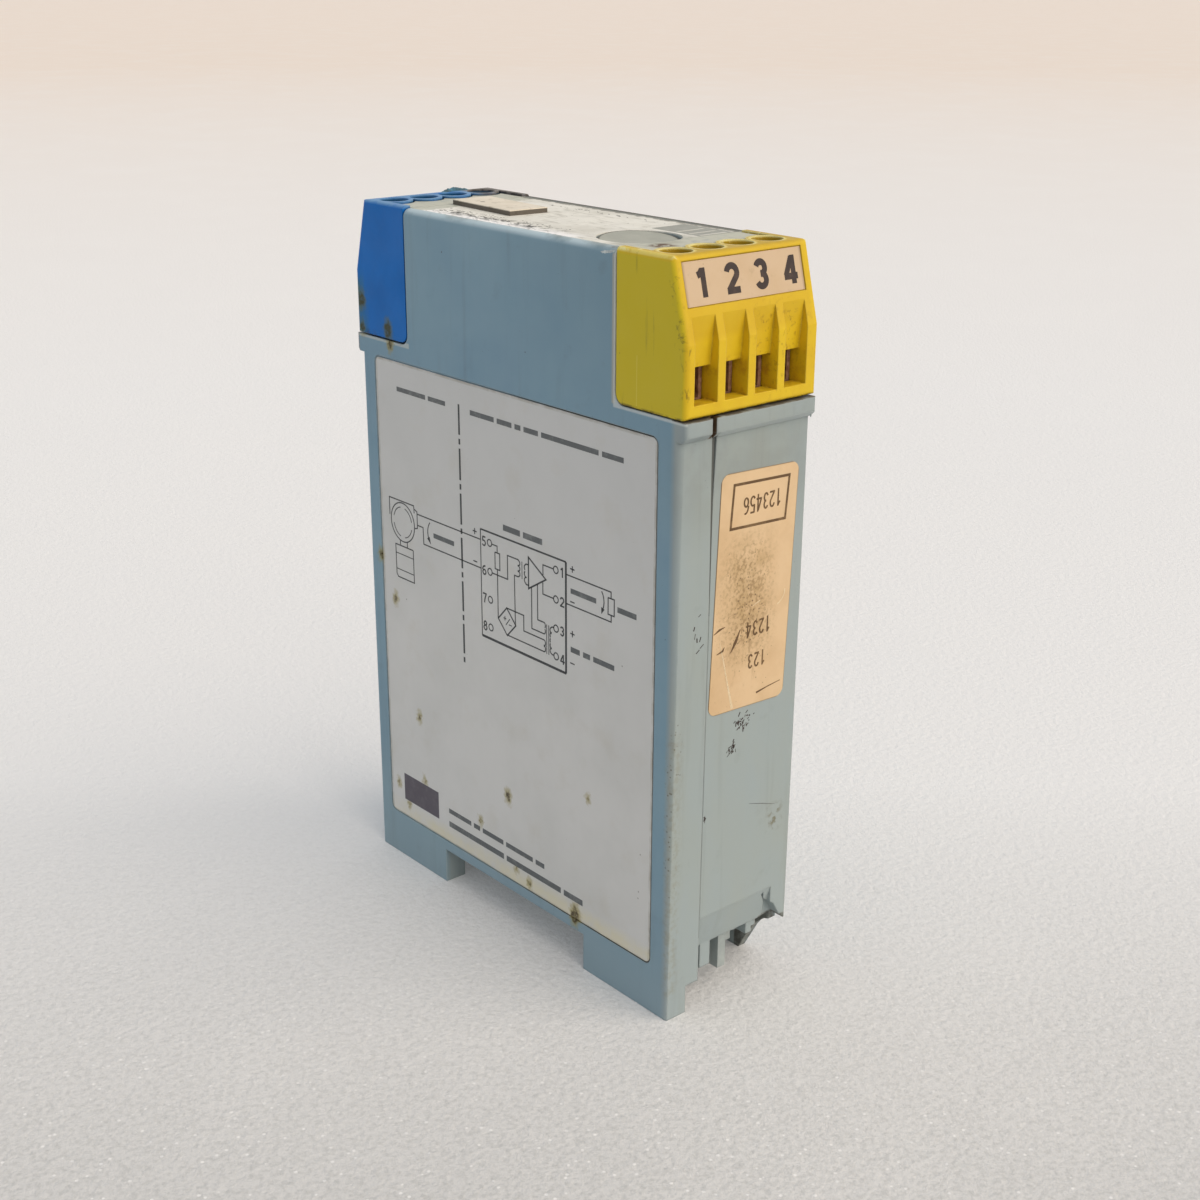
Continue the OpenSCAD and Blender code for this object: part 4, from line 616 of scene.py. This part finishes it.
def diagramBands():
    # The circuit on the label: a boxed circuit between an instrument on the left and a load on the right.
    # A path without a width has the usual one.
    d = diagram
    (x0, z0), (x1, z1) = d["box"]
    line, thin = d["line"], d["thin"]
    bands = [([(x0, z1), (x1, z1)], 0.28), ([(x1, z1), (x1, z0)], d["heavy"]), ([(x1, z0), (x0, z0)], d["heavy"]),
             [(x0, z0), (x0, z1)]]
    # Divider between the two areas: long dashes and short ones in turn
    x, top, bottom = d["divider"]
    z = bottom
    while z < top:
        for length in (d["dot"], d["dash"]):
            if z < top:
                bands.append(([(x, z), (x, min(z + length, top))], 0.42))
            z += length + d["gap"]
    # Terminals and their numbers
    for rows, cx, side, names in ((d["leftRows"], d["leftCircle"], -1, "5678"),
                                  (d["rightRows"], d["rightCircle"], 1, "1234")):
        for z, name in zip(rows, names):
            bands.append((arc((cx, z), d["circle"], 0, 345, 24), line, True))
            bands += digitBands(name, (cx + side * 1.45, z - 0.05), d["digit"], d["digitWidth"])
    # Instrument on the left: a round dial in a square, on a stem
    dial = (-28.1, 62.9)
    bands += [[(-31.8, 63.5), (-31.8, 66.55), (-24.8, 66.55), (-24.7, 65.3)],
              (arc(dial, 3.35, 0, 354, 48), line, True)]
    bands += [(arc(dial, 2.6, a, a + 62, 8), thin) for a in (12, 102, 192, 282)]
    bands += [[(-24.6, 66.0), (-23.9, 65.7), (-23.9, 62.9), (-24.6, 62.7)], [(-29.0, 59.7), (-29.0, 58.8)],
              [(-27.0, 59.7), (-27.0, 58.8)],
              [(-25.35, 58.7), (-25.3, 53.0), (-29.9, 53.0), (-30.35, 53.5), (-30.4, 58.7), (-25.35, 58.7)],
              ([(-30.4, 57.2), (-25.35, 57.2)], thin), ([(-30.4, 54.4), (-25.35, 54.4)], thin)]
    # Wires from the instrument, the current arrow beside them, and the signs at the box
    bands += [[(-23.8, 65.35), (x0, 65.35)], [(-23.8, 63.45), (-22.3, 63.45), (-22.2, 60.62), (x0, 60.62)],
              arc((-18.4, 63.0), 2.6, 138, 205, 10), ([(-20.85, 62.1), (-20.25, 61.1)], (0.75, 0.05))]
    for sx, plus, minus in ((-8.2, (66.35,), (61.35,)), (15.7, (66.35, 56.15), (61.2, 51.4))):
        bands += [[(sx - 0.5, z), (sx + 0.5, z)] for z in plus + minus]
        bands += [[(sx, z - 0.5), (sx, z + 0.5)] for z in plus]
    # Inside the box: resistor, supply bridge, two transformers and the amplifier
    left, right = d["leftCircle"] + d["circle"], d["rightCircle"] - d["circle"]
    a1, a2, a3, a4 = d["rightRows"]
    bands += [[(left, 65.3), (-2.47, 65.3), (-2.47, 64.2)],
              [(-3.05, 64.2), (-1.85, 64.2), (-1.85, 61.5), (-3.05, 61.5), (-3.05, 64.2)],
              [(-2.47, 61.5), (-2.47, 53.45)], [(left, 60.57), (0.1, 60.57), (0.1, 64.47), (2.9, 64.47)],
              coil(2.75, 61.75, 64.4, 3, 0.45), [(2.8, 61.7), (1.8, 61.7), (1.9, 53.4)],
              ([(3.7, 64.4), (3.7, 61.6)], thin), coil(4.75, 61.1, 64.2, 3, -0.5), [(4.6, 64.3), (5.3, 64.3)],
              [(4.6, 61.0), (5.3, 61.0)],
              ([(5.3, 65.55), (5.3, 60.5), (9.5, 63.05), (5.3, 65.55), (5.3, 65.5)], 0.26),
              [(8.8, 63.6), (8.8, a1), (right, a1)], [(8.75, 62.4), (8.75, a2), (right, a2)],
              [(6.0, 60.9), (6.0, 54.2), (9.0, 54.2)], [(7.45, 61.8), (7.45, 56.05), (9.0, 56.05)],
              coil(9.0, 54.2, 56.05, 2, 0.3), coil(9.0, 51.28, 53.2, 2, 0.3), ([(9.6, 55.9), (9.6, 51.1)], thin),
              ([(10.1, 55.9), (10.1, 51.1)], thin), coil(10.7, 51.5, 55.7, 5, -0.3),
              [(10.7, 55.7), (10.9, a3), (right, a3)], [(10.7, 51.5), (10.9, a4), (right, a4)],
              ([(-0.25, 55.75), (2.0, 53.45), (-0.2, 51.2), (-2.45, 53.45), (-0.25, 55.75), (-0.2, 55.7)], 0.24),
              [(-0.25, 55.75), (4.0, 55.75), (4.0, 53.2), (9.0, 53.2)], [(-0.2, 51.28), (9.0, 51.28)],
              ([(-1.1, 53.9), (-0.4, 53.9)], thin), ([(-0.75, 53.55), (-0.75, 54.25)], thin),
              ([(0.25, 53.1), (0.95, 53.1)], thin), ([(-0.5, 52.9), (0.5, 54.1)], thin)]
    # Load on the right: wires, resistor and current arrow
    bands += [[(x1, 65.2), (24.4, 65.2), (24.4, 64.2)], [(x1, 60.62), (24.45, 60.62), (24.45, 61.6)],
              [(23.75, 64.2), (25.1, 64.2), (25.1, 61.65), (23.75, 61.65), (23.75, 64.2)],
              arc((20.3, 63.2), 2.55, 38, -28, 10), ([(22.6, 62.2), (22.3, 61.3)], (0.75, 0.05))]
    return [band if isinstance(band, tuple) else (band, line) for band in bands]


# Where the label has writing: x, z, height and the lengths of the words, which become plain bars
printRows = ((-28.5, 85.4, 0.75, (7.9, 4.6)), (-8.8, 85.25, 0.8, (6.0, 3.6, 1.4, 3.4, 12.9, 4.6)),
             (-0.9, 68.75, 0.95, (4.2, 4.6)), (-19.4, 62.8, 0.8, (5.6,)), (15.3, 62.9, 0.8, (5.8,)),
             (25.8, 62.9, 0.85, (4.1,)), (15.3, 53.6, 0.85, (2.1, 1.6, 4.7)),
             (-17.2, 14.1, 0.85, (6.3, 1.7, 5.6, 7.0, 2.2)), (-17.2, 11.6, 1.0, (15.2, 14.0, 4.6)))
wordGap = 0.75


def wordBands():
    # Each word is a bar, and the next one starts a gap after it
    bands = []
    for x, z, height, lengths in printRows:
        for length in lengths:
            bands.append(([(x, z), (x + length, z)], height))
            x += length + wordGap
    return bands


def onPlane(origin, right, up, out):
    # Lays a flat print on a plane: origin + a right + b up + c out, with c in thicknesses of the ink
    axes = np.array([right, up, np.multiply(out, inkThickness)])
    return lambda points: points @ axes + origin


onSide = onPlane((0, diagram["plane"], 0), (1, 0, 0), (0, 0, 1), (0, -1, 0))


def addPrint(name, bands, place, material):
    # One printed piece: its bands, joined and laid on their plane
    points, faces = joinParts([carryBand(*band) for band in bands])
    return addPiece(name, place(points), faces, material)


addPrint("circuitPrint", diagramBands(), onSide, inkLine)
addPrint("wordPrint", wordBands(), onSide, inkSoft)
addPrint("cornerFieldPrint", [([(-30.4, 13.85), (-20.2, 13.85)], 5.0)], onSide, inkBlock)
print("side print ready")

# Numbers on the marker strip, in the plane of its slanted face

markerLow, markerHigh = (np.array(c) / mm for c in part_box("marker_label"))
strip = dict(thickness=0.15, height=3.9, stroke=0.9, digits="1234", first=-8.0, pitch=5.5, middle=2.95)
stripLean = math.atan2(markerHigh[0] - markerLow[0] - strip["thickness"], markerHigh[2] - markerLow[2])
stripSide, stripRise = math.sin(stripLean), math.cos(stripLean)
onStrip = onPlane((markerHigh[0], 0, markerLow[2] + strip["thickness"] * stripSide),
                  (0, 1, 0), (-stripSide, 0, stripRise), (stripRise, 0, stripSide))
markerBands = []
for i, digit in enumerate(strip["digits"]):
    centre = (strip["first"] + i * strip["pitch"], strip["middle"])
    markerBands += digitBands(digit, centre, strip["height"], strip["stroke"])
addPrint("markerNumbers", markerBands, onStrip, inkMark)

# Print on the top film: a grey field with pale bars, and a few faint lines

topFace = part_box("top_label")[1][2] / mm
fieldPrint = dict(left=14.2, right=24.3, near=3.7, far=10.2, bars=((19.2, 0.55), (21.7, 0.5), (23.8, 0.6)),
                  insets=(0.3, 1.0))


def onTop(layer):
    # Layers of ink lie on each other: 0 is on the film, 1 on the first ink
    return onPlane((0, 0, topFace + layer * inkThickness), (1, 0, 0), (0, 1, 0), (0, 0, 1))


near, far = fieldPrint["near"], fieldPrint["far"]
middle = (near + far) / 2
addPrint("topFieldPrint", [([(fieldPrint["left"], middle), (fieldPrint["right"], middle)], far - near)], onTop(0),
         inkField)
barNear, barFar = near + fieldPrint["insets"][0], far - fieldPrint["insets"][1]
barBands = [([(x, barNear), (x, barFar)], width) for x, width in fieldPrint["bars"]]
addPrint("topBarPrint", barBands, onTop(1), inkPale)


def flecks(centre, spread, count, seed, reach=(0.08, 0.42)):
    # Short strokes of random place, direction and size round a centre; places follow a normal distribution
    draw = np.random.default_rng(seed)
    middle = np.array(centre) + draw.standard_normal((count, 2)) * spread
    angle = draw.uniform(0.1, 1.7, count)
    half = draw.uniform(*reach, count)[:, None] * np.stack([np.cos(angle), np.sin(angle)], 1)
    width = draw.uniform(0.07, 0.2, count)
    return [([a, b], w) for a, b, w in zip(middle - half, middle + half, width)]


# What is left of the film's writing: rows of dark crumbs
crumbs = flecks((-9, -8.3), (5.5, 0.35), 70, 21, (0.08, 0.3)) + flecks((-14, -6.6), (3, 0.3), 22, 22, (0.06, 0.2))
crumbs += flecks((-4, 8.4), (6, 0.3), 30, 23, (0.05, 0.2)) + flecks((2, -6.6), (3, 0.5), 16, 24, (0.05, 0.16))
addPrint("topCrumbs", crumbs, onTop(0), inkCrumbs)

# Print, creases and scratches on the sticker, in the plane of the leaning end face

stickerHigh = np.array(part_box("test_sticker")[1]) / mm
endSlope = 0.5 / 92.9           # the end face leans outwards by that for each mm of height


def onEnd(lift=0):
    # lift is the height above the sticker's face
    return onPlane((stickerHigh[0] - stickerHigh[2] * endSlope + lift, 0, 0), (0, 1, 0), (endSlope, 0, 1), (1, 0, 0))


stampFrame = [(-2.0, 82.3), (9.0, 81.85), (8.45, 75.5), (-2.5, 75.95)]
stampRows = (("654321", (6.95, 78.95), 2.6), ("4321", (5.85, 59.95), 2.5), ("321", (5.1, 54.9), 2.4))
stampPitch, stampDrop, stampSqueeze, stampStroke = 1.3, 0.03, 0.62, 0.28


def stampNumbers():
    # Rows of plain numbers, upside down and narrow: each stroke is squeezed and turned by half a turn
    bands = []
    for digits, (y, z), height in stampRows:
        for i, digit in enumerate(reversed(digits)):
            centre = np.array([y - i * stampPitch, z - i * stampDrop])
            for path, width, closed, lift in digitBands(digit, (0, 0), height, stampStroke):
                bands.append((centre - np.asarray(path) * (stampSqueeze, 1), width, closed, lift))
    return bands


addPrint("stickerStamp", [(stampFrame, 0.4, True)] + stampNumbers(), onEnd(), inkStamp)
addPrint("stickerScratches",
         [([(-5.1, 60.8), (-4.0, 61.3), (-2.9, 61.5)], (0.12, 0.34, 0.08)),
          ([(4.0, 49.5), (6.4, 49.9), (9.0, 50.2)], (0.3, 0.16, 0.1)),
          ([(-1.6, 57.2), (-0.7, 58.6), (0.2, 60.4)], (0.1, 0.6, 0.12)),
          ([(-4.4, 57.6), (-3.2, 57.9), (-2.9, 58.4)], (0.1, 0.34, 0.08))], onEnd(), inkStamp)
wallLift = -0.08        # the wall is that far behind the sticker's face
addPrint("endFlecks", flecks((1.6, 45.7), (0.9, 0.75), 34, 5) + flecks((-0.3, 41.9), (0.5, 0.8), 20, 7)
         + flecks((-7.9, 60.4), (0.5, 1.6), 7, 9) + flecks((-5.75, 31.9), (0.14, 0.22), 7, 11)
         + [([(3.6, 31.4), (6.6, 30.5), (9.2, 29.6)], (0.03, 0.06, 0.02))], onEnd(wallLift), inkMark)

# The foil where it is folded: paler and shinier along the ridge
creasedFoil = makeMaterial("creasedFoil", "EBD7B4", [("D9BF94", 0.7, clouds(1.5, 0.4, 0.7, 2))],
                           (0.2, 0.36, 2), (0.33, 0.008, 2), None, {"Metallic": 0.4})
addPrint("stickerCreases",
         [([(-3.9, 59.3), (-3.1, 56.6), (-2.1, 52.7), (-0.95, 48.35)], (0.1, 0.22, 0.26, 0.5)),
          (arc((6.9, 64.6), 2.2, 0, -70, 8), 0.2), ([(2.5, 63.4), (4.1, 64.0)], (0.08, 0.2))],
         onEnd(), creasedFoil)
print("top, marker and sticker prints ready")

# Torn and raised bits of plastic: rings round a bent line that close to a point at both ends

def ringFaces(rings, sides):
    # The four-sided faces between each ring of points and the next
    ring = np.arange(rings - 1)[:, None] * sides
    side = np.arange(sides)
    after = (side + 1) % sides
    return np.stack([ring + side, ring + after, ring + sides + after, ring + sides + side], 2).reshape(-1, 4)


def carrySliver(line, wide, tall, rings=26, sides=12, rough=0.12, seed=1):
    # Centre follows a smooth curve through the line's points. Each ring is an ellipse, wide x tall, whose size
    # is the square root of sin(pi s) and carries a small random ripple.
    line = np.asarray(line, float)
    s = np.linspace(0, 1, rings)
    knots = np.linspace(0, 1, len(line))
    centre = np.stack([np.interp(s, knots, line[:, k]) for k in range(3)], 1)
    centre[1:-1] = (centre[:-2] + 2 * centre[1:-1] + centre[2:]) / 4
    along = unit(np.gradient(centre, axis=0))
    across = unit(np.cross(along, (0, 0, 1)))
    lift = np.cross(across, along)
    size = np.sqrt(np.maximum(np.sin(np.pi * s), 0))[:, None]
    angle = np.linspace(0, 2 * np.pi, sides, endpoint=False)[None, :]
    ripple = 1 + rough * np.random.default_rng(seed).standard_normal((rings, sides))
    a = (wide * size * np.cos(angle) * ripple)[:, :, None] * across[:, None, :]
    b = (tall * size * np.sin(angle) * ripple)[:, :, None] * lift[:, None, :]
    return (centre[:, None, :] + a + b).reshape(-1, 3), ringFaces(rings, sides)


slivers = dict(
    edgeBurr=dict(line=[(20.6, -12.25, 113.3), (22.2, -12.4, 113.35), (24.2, -12.3, 113.7), (25.0, -12.0, 114.0)],
                  wide=0.12, tall=0.24, seed=4),
    topBurr=dict(line=[(22.8, -11.9, 113.95), (24.0, -11.7, 114.25), (25.3, -11.4, 114.3)],
                 wide=0.18, tall=0.2, seed=6),
    rimFlake=dict(line=[(38.95, 12.1, 90.7), (38.7, 12.35, 90.2), (38.5, 12.5, 89.7)], wide=0.1, tall=0.22, seed=8))

# The same grey ABS where it is torn: whitened by the strain, matt
torn = makeMaterial("tornGreyAbs", "D3DAD8", [("9DA9AC", 0.8, clouds(0.8, 0.42, 0.6, 2, 6))],
                    (0.5, 0.7, 1), (0.2, 0.02, 4), None, mouldedAbs)
for name, values in slivers.items():
    points, faces = carrySliver(**values)
    addPiece(name, points, faces, torn, smooth=True)

# Blue plastic scraped up and mixed with grey dirt: dull teal
scraped = makeMaterial("scrapedBlueAbs", "4F7F94", [("3B4A4C", 0.9, clouds(0.9, 0.4, 0.62, 2, 6))],
                       (0.5, 0.7, 1), (0.25, 0.02, 4), None, mouldedAbs)
points, faces = carrySliver([(-35.2, 1.8, 114.3), (-35.5, 3.6, 114.6), (-35.8, 5.4, 114.72), (-35.5, 8.6, 114.35)],
                            0.4, 0.5, seed=12)
addPiece("scrapedRim", points, faces, scraped, smooth=True)

# Scraps of the top film that stand up along its torn near edge

filmScraps = dict(count=11, low=(-21.0, -10.6), high=(4.0, -9.6), reach=(0.5, 1.6), seed=3,
                  bend=((0, -0.04), (0.5, 0.06), (1, -0.04)))       # share of the reach, and height over the film


def filmScrapRings():
    # Slivers at random places, each a thin bent ridge that lies along the edge
    draw = np.random.default_rng(filmScraps["seed"])
    parts = []
    for i in range(filmScraps["count"]):
        start = draw.uniform(filmScraps["low"], filmScraps["high"])
        turn, reach = draw.uniform(-0.6, 0.6), draw.uniform(*filmScraps["reach"])
        ahead = np.array([math.cos(turn), math.sin(turn)]) * reach
        line = [(*(start + ahead * share), topFace + height) for share, height in filmScraps["bend"]]
        parts.append(carrySliver(line, draw.uniform(0.1, 0.25), 0.07, rings=9, sides=6, seed=i))
    return joinParts(parts)


points, faces = filmScrapRings()
addPiece("filmScraps", points, faces, finishes["top_film"], smooth=True)
print("slivers ready")

# Spring of the rail latch: coiled steel wire, built in place of the part's own spring

springLow, springHigh = (np.array(c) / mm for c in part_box("latch_spring"))
spring = dict(wire=0.35, turns=7.5, perTurn=24, sides=10, travel=2.5)


def springCoil():
    # A tube round the helix (x, r cos a, r sin a). The first and last turn lie wire on wire, and the rings at
    # both ends close to a point, so that the wire has flat ends.
    wire, turns = spring["wire"], spring["turns"]
    middle = (springLow + springHigh) / 2
    span = springHigh[0] - springLow[0] - wire
    coilRadius = (springHigh[1] - springLow[1] - wire) / 2
    turn = np.linspace(0, turns, int(turns * spring["perTurn"]) + 1)
    turn = np.concatenate([turn[:1], turn, turn[-1:]])[:, None]
    size = np.full_like(turn, wire / 2)
    size[[0, -1]] = 0
    along = np.interp(turn, [0, 1, turns - 1, turns], [0, wire, span - wire, span])
    b = np.linspace(0, 2 * np.pi, spring["sides"], endpoint=False)
    away = coilRadius + size * np.cos(b)
    a = 2 * np.pi * turn
    x = springLow[0] + wire / 2 + along + size * np.sin(b)
    points = np.stack([x, middle[1] + away * np.cos(a), middle[2] + away * np.sin(a)], 2)
    return points.reshape(-1, 3), ringFaces(len(turn), spring["sides"])


points, faces = springCoil()
springPiece = addPiece("latchSpring", points, faces, finishes["spring_steel"], smooth=True)
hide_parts("latch_spring")
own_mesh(springPiece)
print("spring ready")

# Floor, lamp, world and camera

floorPaint = dict(pale="F4F5F6", far="F2E5D9", near="CFCFCE", patch="F9F9F8", towards=(0.758, -0.652, 0), shown=0.1)


def seenRays(tree):
    # 1 for what the camera sees, directly, in a reflection or through glass, and 0 for light
    rays = tree.nodes.new("ShaderNodeLightPath").outputs
    seen = addNode(tree, "Math MAXIMUM", {}, {0: rays["Is Camera Ray"], 1: rays["Is Glossy Ray"]})
    return addNode(tree, "Math MAXIMUM", {}, {0: seen, 1: rays["Is Transmission Ray"]})


def makeFloor():
    # Pale plastic sheet: near white, warmer far away, and greyer towards the camera, a painted shadow in front of
    # the object, with a faint grain and white specks that are painted glints. A part of what the camera sees is the
    # sheet's own colour, which keeps the background pale; the rest keeps the shadow.
    material, tree, place = startMaterial("paleSheet")
    away = addNode(tree, "VectorMath LENGTH", {}, {0: place})
    far = addNode(tree, "MapRange", {"From Min": 400, "From Max": 2500}, {"Value": away})
    ahead = addNode(tree, "VectorMath DOT_PRODUCT", {1: floorPaint["towards"]}, {0: place})
    near = addNode(tree, "MapRange", {"From Min": -45, "From Max": 125}, {"Value": ahead})
    colour = layered(floorPaint["pale"], [
        (floorPaint["far"], 1, far), (floorPaint["near"], 1, near),
        (floorPaint["patch"], 0.15, clouds(60, 0.45, 0.7, 5)),
        ("B0B2B0", 0.55, near, clouds(0.8, 0.46, 0.66, 53, 6)),
        # white specks: painted glints
        ("FFFFFF", 1, near, specks(1.4, 0.3, 0.4, 54))])(tree, place)
    noise = addNode(tree, "TexNoise", {"Scale": 0.7, "Detail": 6, "Roughness": 0.65}, {"Vector": place})
    normal = addNode(tree, "Bump", {"Strength": 0.5, "Distance": 0.9 * mm}, {"Height": noise})
    sheet = addNode(tree, "BsdfPrincipled", {"Roughness": 0.5}, {"Base Color": colour, "Normal": normal})
    glow = addNode(tree, "Emission", {}, {"Color": colour})
    share = addNode(tree, "Math MULTIPLY", {1: floorPaint["shown"]}, {0: seenRays(tree)})
    shader = addNode(tree, "MixShader", {}, {0: share, 1: sheet, 2: glow})
    tree.links.new(shader, tree.nodes.new("ShaderNodeOutputMaterial").inputs["Surface"])
    return material


floorSize = 9000
floorMesh = bpy.data.meshes.new("floor")
floorCorners = np.array([(-1, -1, 0), (1, -1, 0), (1, 1, 0), (-1, 1, 0)]) * floorSize * mm
floorMesh.from_pydata(floorCorners.tolist(), [], [(0, 1, 2, 3)])
floorMesh.materials.append(makeFloor())
addObject("floor", floorMesh)

key = dict(towards=(0.76, 0.20, 0.60), strength=2.0, colour="FFEFDD", angle=70)
lamp = bpy.data.lights.new("key", "SUN")
lamp.energy, lamp.angle = key["strength"], math.radians(key["angle"])
lamp.color = linear(key["colour"])[:3]
back = unit(np.array(key["towards"]))
right = unit(np.cross((0, 0, 1), back))
axes = np.stack([right, np.cross(back, right), back], 1)
addObject("key", lamp).matrix_world = Matrix(axes.tolist()).to_4x4()

studio = dict(dim="B4C2D4", bright="F1EEEA", shown="DCDAD8", towards=(0.60, 0.30, 0.74), strength=0.72)
world = bpy.data.worlds.new("studio")
world.use_nodes = True
sky = world.node_tree
aim = sky.nodes.new("ShaderNodeTexCoord").outputs["Generated"]
facing = addNode(sky, "VectorMath DOT_PRODUCT", {1: studio["towards"]}, {0: aim})
brighter = addNode(sky, "MapRange", {"From Min": -0.6, "From Max": 1}, {"Value": facing})
skyColour = layered(studio["dim"], [(studio["bright"], 1, brighter)])(sky, aim)
lit = sky.nodes["Background"]
lit.inputs["Strength"].default_value = studio["strength"]
sky.links.new(skyColour, lit.inputs["Color"])
shown = addNode(sky, "Background", {"Color": linear(studio["shown"])})
backdrop = addNode(sky, "MixShader", {}, {0: seenRays(sky), 1: lit.outputs[0], 2: shown})
sky.links.new(backdrop, sky.nodes["World Output"].inputs["Surface"])
bpy.context.scene.world = world

cameraView = dict(place=(202.6, -168.0, 150.7), azimuth=49.27, elevation=20.13, roll=0.27, lens=52.56, sensor=36)
turnA, turnE, turnR = (math.radians(cameraView[k]) for k in ("azimuth", "elevation", "roll"))
back = np.array([math.sin(turnA) * math.cos(turnE), -math.cos(turnA) * math.cos(turnE), math.sin(turnE)])
right = np.array([math.cos(turnA), math.sin(turnA), 0])
up = np.cross(back, right)
axes = np.stack([math.cos(turnR) * right + math.sin(turnR) * up,
                 -math.sin(turnR) * right + math.cos(turnR) * up, back], 1)
camera = bpy.data.cameras.new("camera")
camera.lens = cameraView["lens"]
camera.sensor_width = cameraView["sensor"]
camera.clip_start = 0.01
cameraHolder = addObject("camera", camera)
cameraHolder.matrix_world = Matrix.Translation(np.array(cameraView["place"]) * mm) @ Matrix(axes.tolist()).to_4x4()
bpy.context.scene.camera = cameraHolder
bpy.context.scene.view_settings.view_transform = "Standard"
print("stage and camera ready")
